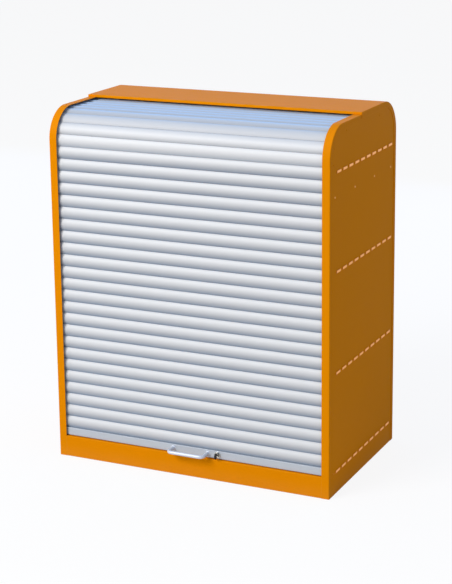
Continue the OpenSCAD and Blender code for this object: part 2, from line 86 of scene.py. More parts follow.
camera = bpy.data.objects.new("camera", bpy.data.cameras.new("camera"))
scene.collection.objects.link(camera)
scene.camera = camera
camera.matrix_world = Matrix.Translation(CAMERA_AT) @ Matrix((across, upward, -ahead)).transposed().to_4x4()
camera.data.sensor_width = SENSOR
camera.data.lens = FOCAL_PX * SENSOR / IMAGE_H
camera.data.shift_y = (AXIS_ROW - IMAGE_H / 2) / IMAGE_H
camera.data.clip_end = 200
print("lens", round(camera.data.lens, 2), "mm, shift", round(camera.data.shift_y, 4))

# %% [markdown]
# ## Node helpers
#
# Every finish below is a small network of nodes. Written out in full, each node takes several lines, so a few
# short helpers keep the later cells readable. They add a node with its settings and fixed values, open a node
# group with named sockets, do a sum, blend two colours, and turn a screen colour into the linear values that
# shaders take.

# %% Helpers for node trees
def add(tree, kind, values=None, **settings):
    """A new node, with settings on the node and values on its input sockets."""
    node = tree.nodes.new(kind)
    for key, value in settings.items():
        setattr(node, key, value)
    for key, value in (values or {}).items():
        node.inputs[key].default_value = value
    return node


def open_group(name, kind, inputs, outputs):
    """A node group with named sockets, and its input and output nodes."""
    tree = bpy.data.node_groups.new(name, kind)
    for label, socket, value in inputs:
        made = tree.interface.new_socket(name=label, in_out="INPUT", socket_type="NodeSocket" + socket)
        if value is not None:
            made.default_value = value
    for label, socket in outputs:
        tree.interface.new_socket(name=label, in_out="OUTPUT", socket_type="NodeSocket" + socket)
    return tree, tree.nodes.new("NodeGroupInput"), tree.nodes.new("NodeGroupOutput")


# %% Helpers for sums and colours
def maths(tree, operation, a, b):
    """A Math node's result, where a and b are sockets or numbers."""
    node = add(tree, "ShaderNodeMath", operation=operation)
    for place, value in enumerate((a, b)):
        if isinstance(value, (int, float)):
            node.inputs[place].default_value = value
        else:
            tree.links.new(value, node.inputs[place])
    return node.outputs[0]


def blend(tree, share, first, second):
    """A colour between two, where each is a socket or a fixed colour."""
    node = add(tree, "ShaderNodeMix", data_type="RGBA")
    tree.links.new(share, node.inputs["Factor"])
    for label, value in (("A", first), ("B", second)):
        socket = next(s for s in node.inputs if s.name == label and s.type == "RGBA")
        if isinstance(value, tuple):
            socket.default_value = value
        else:
            tree.links.new(value, socket)
    return next(s for s in node.outputs if s.type == "RGBA")


def paint(red, green, blue):
    """A colour as it looks on a screen, from 0 to 255, turned into the linear values that shaders take."""
    def linear(c):
        return c / 12.92 if c <= 0.04045 else ((c + 0.055) / 1.055) ** 2.4
    return (*[linear(c / 255) for c in (red, green, blue)], 1.0)


print("a screen grey of 128 is", round(paint(128, 128, 128)[0], 3), "in linear light")

# %% [markdown]
# ## Studio
#
# The cabinet stands on a plain pale floor. A big soft box high at the front left lights the slats and the
# plinth and leaves the right side in shade. A broad, dim, cool panel stands behind the cabinet, and what is
# mirrored from high above is cool as well, so the satin slats turn blue where they bend over the top.
#
# The floor and the world look white to the camera and in reflections, through Light Path. The light that
# they throw on the cabinet stays at a plain level: the world glows softly, and the floor is a mid grey for
# the rays that bounce off it. A part of the floor's look is its true shading, so it keeps the cabinet's
# shadow.

# %% Floor
scene.view_settings.view_transform = "Standard"
WHITE = (1.0, 1.0, 1.0, 1.0)
FLOOR_HALF = 30.0
FLOOR_DROP = 0.5 * MM
FLOOR_WHITE = 0.88
FLOOR_PALE, FLOOR_GREY = paint(250, 250, 250), paint(188, 188, 188)


def seen_directly(tree):
    """1 for rays from the camera, a reflection or a view through glass, and 0 for light on a surface."""
    path = add(tree, "ShaderNodeLightPath")
    seen = maths(tree, "MAXIMUM", path.outputs["Is Camera Ray"], path.outputs["Is Glossy Ray"])
    return maths(tree, "MAXIMUM", seen, path.outputs["Is Transmission Ray"])


def make_floor():
    """A large pale floor just under the cabinet."""
    material = bpy.data.materials.new("pale_floor")
    material.use_nodes = True
    tree = material.node_tree
    tree.nodes.clear()
    matt = add(tree, "ShaderNodeBsdfDiffuse", {"Color": FLOOR_PALE})
    glow = add(tree, "ShaderNodeEmission", {"Color": WHITE, "Strength": 1.0})
    pale = add(tree, "ShaderNodeMixShader", {0: FLOOR_WHITE})
    grey = add(tree, "ShaderNodeBsdfDiffuse", {"Color": FLOOR_GREY})
    mixed = add(tree, "ShaderNodeMixShader")
    out = add(tree, "ShaderNodeOutputMaterial")
    for source, target in (
        (matt.outputs[0], pale.inputs[1]), (glow.outputs[0], pale.inputs[2]),
        (seen_directly(tree), mixed.inputs[0]), (grey.outputs[0], mixed.inputs[1]),
        (pale.outputs[0], mixed.inputs[2]),
        (mixed.outputs[0], out.inputs["Surface"]),
    ):
        tree.links.new(source, target)
    mesh = bpy.data.meshes.new("floor")
    square = [(x * FLOOR_HALF, y * FLOOR_HALF, -FLOOR_DROP) for x, y in ((-1, -1), (1, -1), (1, 1), (-1, 1))]
    mesh.from_pydata(square, [], [(0, 1, 2, 3)])
    mesh.materials.append(material)
    floor = bpy.data.objects.new("floor", mesh)
    scene.collection.objects.link(floor)


make_floor()
print("floor", 2 * FLOOR_HALF, "m wide")

# %% World
AMBIENT = 0.57
SOFT_SKY = paint(220, 228, 246)
COOL_ABOVE = paint(130, 188, 255)
COOL_FROM, COOL_FULL = 0.15, 0.70


def make_world(ambient):
    """A surround that looks white, and cool high up, and lights surfaces at the ambient level."""
    world = bpy.data.worlds.new("studio")
    scene.world = world
    world.use_nodes = True
    tree = world.node_tree
    tree.nodes.clear()
    soft = add(tree, "ShaderNodeBackground", {"Color": SOFT_SKY, "Strength": ambient})
    seen = add(tree, "ShaderNodeBackground", {"Strength": 1.0})
    parts = add(tree, "ShaderNodeSeparateXYZ")
    tree.links.new(add(tree, "ShaderNodeTexCoord").outputs["Generated"], parts.inputs[0])
    height = add(tree, "ShaderNodeMapRange", {"From Min": COOL_FROM, "From Max": COOL_FULL},
                 interpolation_type="SMOOTHSTEP")
    tree.links.new(parts.outputs["Z"], height.inputs["Value"])
    tree.links.new(blend(tree, height.outputs["Result"], WHITE, COOL_ABOVE), seen.inputs["Color"])
    mixed = add(tree, "ShaderNodeMixShader")
    out = add(tree, "ShaderNodeOutputWorld")
    tree.links.new(seen_directly(tree), mixed.inputs[0])
    tree.links.new(soft.outputs[0], mixed.inputs[1])
    tree.links.new(seen.outputs[0], mixed.inputs[2])
    tree.links.new(mixed.outputs[0], out.inputs["Surface"])


make_world(AMBIENT)
print("world", scene.world.name, "lights surfaces at", AMBIENT)

# %% Lamps
MIDDLE = (0, 0, 0.6)
KEY_LAMP_AT, KEY_LAMP_SIZE, KEY_LAMP_WATTS = (-4.2, -7.4, 5.9), (5.3, 4.3), 765
BACK_AT, BACK_AIM, BACK_SIZE, BACK_WATTS = (0.5, 4.0, 2.2), (0.5, 0, 1.2), (10.0, 3.6), 130
BACK_BLUE = paint(130, 180, 255)


def soft_box(name, at, towards, size, watts, colour):
    """A rectangular lamp that faces a point."""
    lamp = bpy.data.lights.new(name, "AREA")
    lamp.shape = "RECTANGLE"
    lamp.size, lamp.size_y = size
    lamp.energy = watts
    lamp.color = colour[:3]
    box = bpy.data.objects.new(name, lamp)
    scene.collection.objects.link(box)
    aim = (Vector(towards) - Vector(at)).to_track_quat("-Z", "Y")
    box.matrix_world = Matrix.Translation(Vector(at)) @ aim.to_matrix().to_4x4()


soft_box("key", KEY_LAMP_AT, MIDDLE, KEY_LAMP_SIZE, KEY_LAMP_WATTS, WHITE)
soft_box("cool_back", BACK_AT, BACK_AIM, BACK_SIZE, BACK_WATTS, BACK_BLUE)

# %% [markdown]
# ## Effects that finishes share
#
# Enamel, metal and plastic differ in colour, but the same things happen to them: a sprayed or moulded skin is
# never quite flat, tone drifts over a large sheet, edges rub lighter, dust settles near the floor, and drawn
# metal carries fine lines. These nodes could be built again in every finish. Here each effect is one node
# group with named sizes, so that every finish uses it with its own values. All of them read Object
# coordinates, which are real metres here.

# %% Node groups for skin and tone
def skin_group():
    """Height of a fine dimpled skin, at a pitch in metres."""
    tree, given, put = open_group("dimpled skin", "ShaderNodeTree",
        [("Vector", "Vector", None), ("Pitch", "Float", 0.002)], [("Height", "Float")])
    noise = add(tree, "ShaderNodeTexNoise", {"Detail": 2.0, "Roughness": 0.55})
    tree.links.new(given.outputs["Vector"], noise.inputs["Vector"])
    tree.links.new(maths(tree, "DIVIDE", 1.0, given.outputs["Pitch"]), noise.inputs["Scale"])
    tree.links.new(noise.outputs["Fac"], put.inputs["Height"])
    return tree


def tone_group():
    """A slow drift of tone about 0.5, over patches of a size in metres."""
    tree, given, put = open_group("tone drift", "ShaderNodeTree",
        [("Vector", "Vector", None), ("Patch", "Float", 0.2), ("Spread", "Float", 1.0)], [("Tone", "Float")])
    noise = add(tree, "ShaderNodeTexNoise", {"Detail": 3.0, "Roughness": 0.5})
    tree.links.new(given.outputs["Vector"], noise.inputs["Vector"])
    tree.links.new(maths(tree, "DIVIDE", 1.0, given.outputs["Patch"]), noise.inputs["Scale"])
    swing = maths(tree, "SUBTRACT", noise.outputs["Fac"], 0.5)
    swing = maths(tree, "MULTIPLY", swing, given.outputs["Spread"])
    tree.links.new(maths(tree, "ADD", swing, 0.5), put.inputs["Tone"])
    return tree


EFFECTS = {"skin": skin_group(), "tone": tone_group()}
print("effects", sorted(EFFECTS))

# %% Node groups for rubbed edges and dust
EDGE_GAIN, EDGE_PATCHES = 5.0, 60.0
DUST_ON_TOPS, DUST_PATCHES = 0.4, 22.0


def edge_group():
    """A mask along rubbed edges, found by comparing a rounded normal with the true one."""
    tree, given, put = open_group("rubbed edge", "ShaderNodeTree",
        [("Vector", "Vector", None), ("Reach", "Float", 0.002), ("Amount", "Float", 1.0)],
        [("Edge", "Float")])
    rounded = add(tree, "ShaderNodeBevel", samples=4)
    tree.links.new(given.outputs["Reach"], rounded.inputs["Radius"])
    true = add(tree, "ShaderNodeNewGeometry")
    turned = add(tree, "ShaderNodeVectorMath", operation="DOT_PRODUCT")
    tree.links.new(rounded.outputs["Normal"], turned.inputs[0])
    tree.links.new(true.outputs["Normal"], turned.inputs[1])
    bend = maths(tree, "MULTIPLY", maths(tree, "SUBTRACT", 1.0, turned.outputs["Value"]), EDGE_GAIN)
    noise = add(tree, "ShaderNodeTexNoise", {"Scale": EDGE_PATCHES, "Detail": 3.0})
    tree.links.new(given.outputs["Vector"], noise.inputs["Vector"])
    patchy = maths(tree, "MULTIPLY", bend, noise.outputs["Fac"])
    mask = maths(tree, "MULTIPLY", maths(tree, "MINIMUM", patchy, 1.0), given.outputs["Amount"])
    tree.links.new(maths(tree, "MAXIMUM", mask, 0.0), put.inputs["Edge"])
    return tree


def dust_group():
    """Dust that thickens towards the floor and on faces that look up."""
    tree, given, put = open_group("settled dust", "ShaderNodeTree",
        [("Vector", "Vector", None), ("Rise", "Float", 0.08), ("Amount", "Float", 0.2)], [("Dust", "Float")])
    parts = add(tree, "ShaderNodeSeparateXYZ")
    tree.links.new(given.outputs["Vector"], parts.inputs[0])
    low = maths(tree, "SUBTRACT", 1.0, maths(tree, "DIVIDE", parts.outputs["Z"], given.outputs["Rise"]))
    facing = add(tree, "ShaderNodeSeparateXYZ")
    tree.links.new(add(tree, "ShaderNodeNewGeometry").outputs["Normal"], facing.inputs[0])
    lies = maths(tree, "MAXIMUM", low, maths(tree, "MULTIPLY", facing.outputs["Z"], DUST_ON_TOPS))
    noise = add(tree, "ShaderNodeTexNoise", {"Scale": DUST_PATCHES, "Detail": 4.0, "Roughness": 0.6})
    tree.links.new(given.outputs["Vector"], noise.inputs["Vector"])
    mask = maths(tree, "MULTIPLY", maths(tree, "MAXIMUM", lies, 0.0), noise.outputs["Fac"])
    tree.links.new(maths(tree, "MULTIPLY", mask, given.outputs["Amount"]), put.inputs["Dust"])
    return tree


EFFECTS.update(edge=edge_group(), dust=dust_group())
print("effects", sorted(EFFECTS))

# %% Node group for drawn lines
def lines_group():
    """Fine lines along the cabinet's width, as on drawn or rolled metal."""
    tree, given, put = open_group("drawn lines", "ShaderNodeTree",
        [("Vector", "Vector", None), ("Spacing", "Float", 0.0006), ("Run", "Float", 0.3)],
        [("Lines", "Float")])
    size = add(tree, "ShaderNodeCombineXYZ")
    tree.links.new(given.outputs["Run"], size.inputs["X"])
    tree.links.new(given.outputs["Spacing"], size.inputs["Y"])
    tree.links.new(given.outputs["Spacing"], size.inputs["Z"])
    drawn = add(tree, "ShaderNodeVectorMath", operation="DIVIDE")
    tree.links.new(given.outputs["Vector"], drawn.inputs[0])
    tree.links.new(size.outputs[0], drawn.inputs[1])
    noise = add(tree, "ShaderNodeTexNoise", {"Scale": 1.0, "Detail": 2.0, "Roughness": 0.6})
    tree.links.new(drawn.outputs[0], noise.inputs["Vector"])
    tree.links.new(noise.outputs["Fac"], put.inputs["Lines"])
    return tree


EFFECTS["lines"] = lines_group()
print("effects", sorted(EFFECTS))

# %% [markdown]
# ## Finishes
#
# A finish starts as a plain Principled shader. One function opens it with its fixed values, and the effects
# are then laid over it: a changing tone for the colour, a changing roughness, and a height for the bump.

# %% Helpers for finishes
def open_finish(name, **values):
    """A material with its Principled shader, an Object coordinate and fixed values on the shader."""
    material = bpy.data.materials.new(name)
    material.use_nodes = True
    tree = material.node_tree
    shader = tree.nodes["Principled BSDF"]
    for label, value in values.items():
        shader.inputs[label.replace("_", " ")].default_value = value
    place = add(tree, "ShaderNodeTexCoord").outputs["Object"]
    return material, tree, shader, place


def effect(tree, which, place, **values):
    """One shared effect, placed in a finish with its own values."""
    node = add(tree, "ShaderNodeGroup", node_tree=EFFECTS[which])
    for label, value in values.items():
        node.inputs[label].default_value = value
    tree.links.new(place, node.inputs["Vector"])
    return node.outputs[0]


def shade(colour, share):
    """A colour with its light turned down to a share."""
    return tuple(c * share for c in colour[:3]) + (1.0,)


def bump(tree, shader, height, depth, strength):
    """Feeds a height in metres of relief to the shader's normal."""
    node = add(tree, "ShaderNodeBump", {"Distance": depth, "Strength": strength})
    tree.links.new(height, node.inputs["Height"])
    tree.links.new(node.outputs["Normal"], shader.inputs["Normal"])


print("a finish can lay on", ", ".join(sorted(EFFECTS)))

# %% [markdown]
# ### Enamel
#
# The carcass is sprayed and baked: a deep orange with a satin skin. The tone drifts a little over each sheet,
# the folds and cut edges come out lighter where the coat is thin, and some dust greys the foot. The skin's
# dimples are about 2 mm apart, and shallow. A painted texture could carry all this, but it would have to be
# fitted to each sheet. Made from the shared effects, the coat finds every edge by itself.

# %% Orange enamel
ENAMEL_GLOSS = 0.006
DUST = paint(196, 176, 150)


def enamel(name, colour, thin, edge):
    """Baked enamel, with a lighter tone where the coat is thin on an edge."""
    material, tree, shader, place = open_finish(name, Specular_IOR_Level=ENAMEL_GLOSS)
    tone = effect(tree, "tone", place, Patch=0.35, Spread=0.9)
    coat = blend(tree, tone, shade(colour, 0.93), colour)
    coat = blend(tree, effect(tree, "edge", place, Reach=2.0 * MM, Amount=edge), coat, thin)
    dust = effect(tree, "dust", place, Rise=0.05, Amount=0.06)
    coat = blend(tree, dust, coat, DUST)
    tree.links.new(coat, shader.inputs["Base Color"])
    rough = maths(tree, "ADD", maths(tree, "MULTIPLY", tone, 0.10), 0.36)
    tree.links.new(maths(tree, "ADD", rough, maths(tree, "MULTIPLY", dust, 0.5)), shader.inputs["Roughness"])
    bump(tree, shader, effect(tree, "skin", place, Pitch=2.2 * MM), 0.05 * MM, 0.5)
    return material


ORANGE = enamel("orange_enamel", colour=paint(233, 139, 2), thin=paint(250, 176, 70), edge=0.4)
print("enamel", ORANGE.name)

# %% [markdown]
# ### Metals
#
# The slats and the bar are drawn aluminium with a satin silver finish, so fine lines run along them and the
# roughness follows those lines. An image of brushed metal would repeat along a slat of one metre, so the
# lines are noise, stretched along the width.
#
# Each slat carries an attribute that says how high a point lies on it, and a ramp darkens its foot and, less,
# its top. This darkening is painted shade, standing in for the shade on the lower part of each slat. The
# slats over the corner and the top are lit more evenly, so their ramp of painted shade is lighter. Seen at a
# flat angle the skin goes pale and cool, which is what Sheen on the shader is for. The handle is a drawn rod
# with the same satin look.
#
# The small steel parts are plated: smoother, with a soft cloudy tone. Where tabs and rivets were clinched, a
# thin orange coat over bare steel gives a peach tone.

# %% Drawn metal
# Painted shade: a grey, and two ramps by height on a slat, that darken each slat's foot and, less, its top
PAINTED_SHADE = paint(112, 114, 120)
PAINTED_SHADE_FRONT = ((0.0, 0.80), (0.25, 0.46), (0.5, 0.20), (0.72, 0.05), (0.86, 0.05), (1.0, 0.24))
PAINTED_SHADE_OVER_TOP = ((0.0, 0.44), (0.25, 0.20), (0.5, 0.06), (0.72, 0.03), (0.86, 0.03), (1.0, 0.12))
COOL = paint(150, 205, 255)
RUBBED_SILVER = paint(245, 246, 248)
SATIN_SLAT = dict(colour=paint(225, 222, 217), metallic=0.22, rough=0.62, spacing=0.7 * MM, run=0.35,
                  sheen=1.0)


def painted_shade_share(tree, stops):
    """How much painted shade lies at a height on a slat, from stops of height and share."""
    ramp = add(tree, "ShaderNodeValToRGB")
    while len(ramp.color_ramp.elements) < len(stops):
        ramp.color_ramp.elements.new(0.5)
    for element, (height, share) in zip(ramp.color_ramp.elements, stops):
        element.position = height
        element.color = (share, share, share, 1.0)
    rise = add(tree, "ShaderNodeAttribute", attribute_name="rise")
    tree.links.new(rise.outputs["Fac"], ramp.inputs["Fac"])
    return ramp.outputs["Color"]


def drawn_metal(name, colour, metallic, rough, spacing, run, shade_stops=None, sheen=0.0):
    """Drawn aluminium, with lines along the cabinet's width, and with stops, painted shade towards each slat's
    foot and top.
    """
    material, tree, shader, place = open_finish(name, Metallic=metallic, Specular_IOR_Level=0.3,
                                                Sheen_Weight=sheen, Sheen_Roughness=0.55, Sheen_Tint=COOL)
    lines = effect(tree, "lines", place, Spacing=spacing, Run=run)
    tone = effect(tree, "tone", place, Patch=0.3, Spread=0.8)
    base = blend(tree, lines, shade(colour, 0.90), colour)
    if shade_stops:
        # Painted shade: the slat's colour darkens towards its foot, standing in for the shade on its lower part
        base = blend(tree, painted_shade_share(tree, shade_stops), base, PAINTED_SHADE)
    edge = effect(tree, "edge", place, Reach=0.8 * MM, Amount=0.25)
    tree.links.new(blend(tree, edge, base, RUBBED_SILVER), shader.inputs["Base Color"])
    spread = maths(tree, "ADD", maths(tree, "MULTIPLY", lines, 0.14), maths(tree, "MULTIPLY", tone, 0.06))
    tree.links.new(maths(tree, "ADD", spread, rough - 0.10), shader.inputs["Roughness"])
    bump(tree, shader, lines, 0.02 * MM, 0.35)
    return material


# Both slat finishes carry painted shade, and the upper one carries less
SLAT_SILVER = drawn_metal("slat_silver", shade_stops=PAINTED_SHADE_FRONT, **SATIN_SLAT)
UPPER_SILVER = drawn_metal("upper_silver", shade_stops=PAINTED_SHADE_OVER_TOP, **SATIN_SLAT)
BAR_SILVER = drawn_metal("bar_silver", paint(194, 199, 204), 0.30, 0.48, 0.5 * MM, 0.25)
HANDLE_STEEL = drawn_metal("handle_steel", paint(222, 224, 230), 0.35, 0.50, 0.4 * MM, 0.12)
print("drawn", [m.name for m in (SLAT_SILVER, UPPER_SILVER, BAR_SILVER, HANDLE_STEEL)])

# %% Plated metal
def plated_metal(name, colour, rough, cloud, rubbed=paint(240, 240, 238)):
    """Plated steel, with a cloudy tone over patches of a size in metres."""
    material, tree, shader, place = open_finish(name, Metallic=1.0)
    tone = effect(tree, "tone", place, Patch=cloud, Spread=1.2)
    base = blend(tree, tone, shade(colour, 0.82), colour)
    edge = effect(tree, "edge", place, Reach=0.5 * MM, Amount=0.4)
    tree.links.new(blend(tree, edge, base, rubbed), shader.inputs["Base Color"])
    rub = maths(tree, "MULTIPLY", tone, 0.16)
    tree.links.new(maths(tree, "ADD", rub, rough - 0.08), shader.inputs["Roughness"])
    bump(tree, shader, effect(tree, "skin", place, Pitch=0.6 * MM), 0.01 * MM, 0.3)
    return material


ZINC = plated_metal("zinc_plate", paint(188, 186, 178), 0.42, 0.006)
BRIGHT = plated_metal("bright_steel", paint(196, 198, 202), 0.30, 0.010)
NICKEL = plated_metal("lock_nickel", paint(214, 210, 200), 0.20, 0.008)
CLINCHED = plated_metal("clinched_steel", paint(250, 172, 82), 0.42, 0.012, rubbed=paint(255, 190, 110))
print("plated", [m.name for m in (ZINC, BRIGHT, NICKEL, CLINCHED)])

# %% [markdown]
# ### Plastics and rubber
#
# The tracks and runners are dark nylon, the seal is grey rubber and the key has a black moulded head. Moulded
# parts copy the fine spark texture of their mould, so the skin effect does most of the work here.

# %% Moulded plastics and rubber
WORN_PLASTIC = paint(120, 120, 122)


def moulded(name, colour, rough, pitch, depth):
    """Moulded plastic or rubber, with the mould's fine skin."""
    material, tree, shader, place = open_finish(name, Specular_IOR_Level=0.4)
    tone = effect(tree, "tone", place, Patch=0.05, Spread=1.0)
    light = tuple(min(1.0, c * 1.35 + 0.004) for c in colour[:3]) + (1.0,)
    base = blend(tree, tone, colour, light)
    edge = effect(tree, "edge", place, Reach=0.6 * MM, Amount=0.25)
    tree.links.new(blend(tree, edge, base, WORN_PLASTIC), shader.inputs["Base Color"])
    tree.links.new(maths(tree, "ADD", maths(tree, "MULTIPLY", tone, 0.12), rough), shader.inputs["Roughness"])
    bump(tree, shader, effect(tree, "skin", place, Pitch=pitch), depth, 0.6)
    return material


NYLON = moulded("track_nylon", paint(70, 71, 75), 0.48, 0.5 * MM, 0.03 * MM)
RUBBER = moulded("seal_rubber", paint(137, 138, 141), 0.62, 0.8 * MM, 0.04 * MM)
KEY_BLACK = moulded("key_plastic", paint(24, 24, 26), 0.34, 0.4 * MM, 0.02 * MM)
print("plastics", NYLON.name, RUBBER.name, KEY_BLACK.name)

# %% [markdown]
# ## Reading places off the frame
#
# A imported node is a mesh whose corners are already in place. `corners` lists them, and `solids` splits a node
# such as a row of screws into its separate solids and gives each one's box. Every size below that another
# piece depends on is read this way.

# %% Helpers that measure the frame
def low_high(points):
    """The lowest and the highest corner of a list of points."""
    return (Vector(min(p[i] for p in points) for i in range(3)),
            Vector(max(p[i] for p in points) for i in range(3)))


def corners(node):
    """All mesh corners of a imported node."""
    return [v.co.copy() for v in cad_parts[node].data.vertices]


def solids(node):
    """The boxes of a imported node's separate solids, in order along X, then Y, then Z."""
    bm = bmesh.new()
    bm.from_mesh(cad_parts[node].data)
    bmesh.ops.remove_doubles(bm, verts=bm.verts, dist=1e-6)
    unseen = set(bm.verts)
    found = []
    while unseen:
        stack = [unseen.pop()]
        points = []
        while stack:
            vert = stack.pop()
            points.append(vert.co.copy())
            linked = {edge.other_vert(vert) for edge in vert.link_edges} & unseen
            unseen -= linked
            stack.extend(linked)
        found.append(low_high(points))
    bm.free()
    return sorted(found, key=lambda box: [round(c, 6) for c in box[0]])


panel_low, panel_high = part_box("right_side_panel")
HALF_W = panel_high.x
FRONT, REAR = panel_low.y, panel_high.y
PANEL_TOP = panel_high.z
SHEET = panel_high.x - panel_low.x
CORNER_Z = max(p.z for p in corners("right_side_panel") if p.y < FRONT + 1e-5)
CORNER_R = PANEL_TOP - CORNER_Z
print("half width", HALF_W, "corner radius", round(CORNER_R, 4), "sheet", round(SHEET, 4))

# %% [markdown]
# ## Mesh helpers
#
# Most pieces are one outline carried along a path, so `loft` joins rows of points with quads. Sheet-metal
# pieces are modelled as a skin, the outer face only. A Bevel modifier rounds the folds and a Solidify
# modifier gives the sheet its thickness, which is how a press brake makes them too: flat, then folded.
#
# `settle` works the modifiers into the mesh, evens out the shading, hangs the piece on the body it rides on,
# and hides the imported nodes it stands for.

# %% Helpers that build meshes
def loft(bm, rows, ring=True, capped=True):
    """Quads between rows of points, closed into a ring and capped at both ends if asked."""
    made = [[bm.verts.new(p) for p in row] for row in rows]
    for near, far in zip(made, made[1:]):
        for i in range(len(near) - (0 if ring else 1)):
            j = (i + 1) % len(near)
            bm.faces.new((near[i], near[j], far[j], far[i]))
    if capped:
        bm.faces.new(made[0][::-1])
        bm.faces.new(made[-1])
    return made


def new_object(name, bm, finish, inside=None):
    """The mesh as an object. A skin's faces are turned away from a point inside it."""
    bmesh.ops.remove_doubles(bm, verts=bm.verts, dist=1e-7)
    bmesh.ops.recalc_face_normals(bm, faces=bm.faces)
    if inside is not None:
        bm.normal_update()
        turned = [f for f in bm.faces if (f.calc_center_median() - Vector(inside)).dot(f.normal) < 0]
        bmesh.ops.reverse_faces(bm, faces=turned)
    mesh = bpy.data.meshes.new(name)
    bm.to_mesh(mesh)
    bm.free()
    mesh.materials.append(finish)
    made = bpy.data.objects.new(name, mesh)
    scene.collection.objects.link(made)
    return made


# %% Helpers that finish meshes
def round_edges(piece, radius, steps=3, angle=40):
    """Rounds every edge that turns by more than the angle."""
    mod = piece.modifiers.new("round edges", "BEVEL")
    mod.width, mod.segments = radius, steps
    mod.limit_method, mod.angle_limit = "ANGLE", math.radians(angle)
    return piece


def thicken(piece, thick):
    """Gives a skin its thickness, inwards."""
    mod = piece.modifiers.new("sheet", "SOLIDIFY")
    mod.thickness, mod.offset = thick, -1.0
    mod.use_even_offset = True
    return piece


def cut(piece, cutter):
    """Takes a cutter's shape out of the piece, and removes the cutter."""
    mod = piece.modifiers.new("cut", "BOOLEAN")
    mod.operation, mod.solver, mod.object = "DIFFERENCE", "EXACT", cutter
    bake(piece)
    remove(cutter)
    return piece


def remove(piece):
    """Deletes an object that was only there to make another."""
    mesh = piece.data
    bpy.data.objects.remove(piece)
    bpy.data.meshes.remove(mesh)


def bake(piece):
    """Works the modifiers into the mesh."""
    bpy.context.view_layer.update()
    graph = bpy.context.evaluated_depsgraph_get()
    mesh = bpy.data.meshes.new_from_object(piece.evaluated_get(graph))
    old = piece.data
    piece.modifiers.clear()
    piece.data = mesh
    mesh.name = piece.name
    bpy.data.meshes.remove(old)


# %% Helper that hands a piece to the frame
SMOOTH_TO = math.radians(35)


def settle(piece, body, slot, *nodes):
    """Finishes a piece: final mesh, even shading, a place under its body, and the imported nodes it stands for
    hidden.
    """
    bake(piece)
    piece.data.shade_smooth()
    piece.data.set_sharp_from_angle(angle=SMOOTH_TO)
    piece.modifiers.new("even shading", "WEIGHTED_NORMAL").keep_sharp = True
    bake(piece)
    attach(piece, body)
    if nodes:
        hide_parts(*nodes)
    print(piece.name, len(piece.data.polygons), "faces on", body)
    return piece


print("edges that turn by over", round(math.degrees(SMOOTH_TO)), "degrees stay sharp")

# %% [markdown]
# ## Side shells
#
# Each side is one sheet: a flat panel whose edge turns in by 27 mm all round, following the two big corners.
# The turned edge is what frames the shutter. A Boolean could cut the slots, but so many cuts in a thin skin
# leave a poor mesh. So the skin is made in two parts that share their corners. First the rounded fold and the
# band are carried round the outline, and then the flat panel is filled in, with a slot for every shelf tab.

# %% Outline of a side
ARC_STEPS = 28


def arc(y, z, radius, first, last, steps=ARC_STEPS):
    """Points on an arc in the Y-Z plane, between two angles in degrees."""
    turns = [math.radians(first + (last - first) * i / steps) for i in range(steps + 1)]
    return [(y + radius * math.cos(t), z + radius * math.sin(t)) for t in turns]


def side_outline(inset, foot=0.0, tail=0.0, top_from=None):
    """The side's outline, moved in: up the front, round, back and down. It can also start on the top."""
    radius = CORNER_R - inset
    if top_from is None:
        points = [(FRONT + inset, foot)] + arc(FRONT + CORNER_R, CORNER_Z, radius, 180, 90)
    else:
        points = [(top_from, PANEL_TOP - inset)]
    return points + arc(REAR - CORNER_R, CORNER_Z, radius, 90, 0) + [(REAR - inset, tail)]


print("outline of", len(side_outline(0.0)), "points")

# %% Side shells with their slots
FOLD_R = 2.5 * MM
FOLD_STEPS = 5
SLOT_PLAY = 0.2 * MM
SHELVES = ("base_shelf", "lower_shelf", "upper_shelf", "inner_ceiling")
SIDES = {"left": -1, "right": 1}


def quarter_turn(steps):
    """Angles from 0 to 90 degrees."""
    return [math.radians(90 * i / steps) for i in range(steps + 1)]


def sheet(bm, rows):
    """Quads between open rows, as for a folded sheet."""
    return loft(bm, rows, ring=False, capped=False)


def tab_spans(shelf):
    """Where a shelf's tabs begin and end along Y, and the height of its sheet's top."""
    marks = sorted({round(p.y, 5) for p in corners(shelf) if p.x > HALF_W + 0.1 * MM})
    return list(zip(marks[::2], marks[1::2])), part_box(shelf)[1].z


def side_shell(side):
    """The skin of one side: band and fold round the outline, and the slotted panel."""
    sign = SIDES[side]
    bm = bmesh.new()
    section = [(HALF_W - FOLD_R + FOLD_R * math.cos(t), FOLD_R - FOLD_R * math.sin(t))
               for t in quarter_turn(FOLD_STEPS)]
    section.append((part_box("right_edge_band")[0].x, 0.0))
    rows = [[(sign * x, y, z) for y, z in side_outline(inset)] for x, inset in section]
    rim = sheet(bm, rows)[0]
    edges = [bm.edges.get(pair) for pair in zip(rim, rim[1:])] + [bm.edges.new((rim[-1], rim[0]))]
    for shelf in SHELVES:
        spans, top = tab_spans(shelf)
        for y0, y1 in spans:
            low, high = top - SHEET - SLOT_PLAY, top + SLOT_PLAY
            near, far = y0 - SLOT_PLAY, y1 + SLOT_PLAY
            square = [(near, low), (far, low), (far, high), (near, high)]
            loop = [bm.verts.new((sign * HALF_W, y, z)) for y, z in square]
            edges += [bm.edges.new((a, b)) for a, b in zip(loop, loop[1:] + loop[:1])]
    bmesh.ops.triangle_fill(bm, use_beauty=True, edges=edges, normal=(sign, 0, 0))
    shell = new_object(side + "_side_shell", bm, ORANGE, inside=MIDDLE)
    thicken(shell, SHEET)
    return settle(shell, "carcass", "orange_enamel", side + "_side_panel", side + "_edge_band")


for side in SIDES:
    side_shell(side)

# %% [markdown]
# ## Top cover and back
#
# The cover is a tray turned upside down. It lies over the sides and stands a little proud of them, ends in a
# short lip above the shutter's dark slot, and follows the rear corner down the back. Its skirts lap over the
# outside of the sides, so their front edges catch the light. Below its tail a shallow back panel with the
# same skirts closes the cabinet. Both could be blocks with their inside cut away. As skins of quads, with the
# sharp folds left to the Bevel modifier, they keep one even thickness.

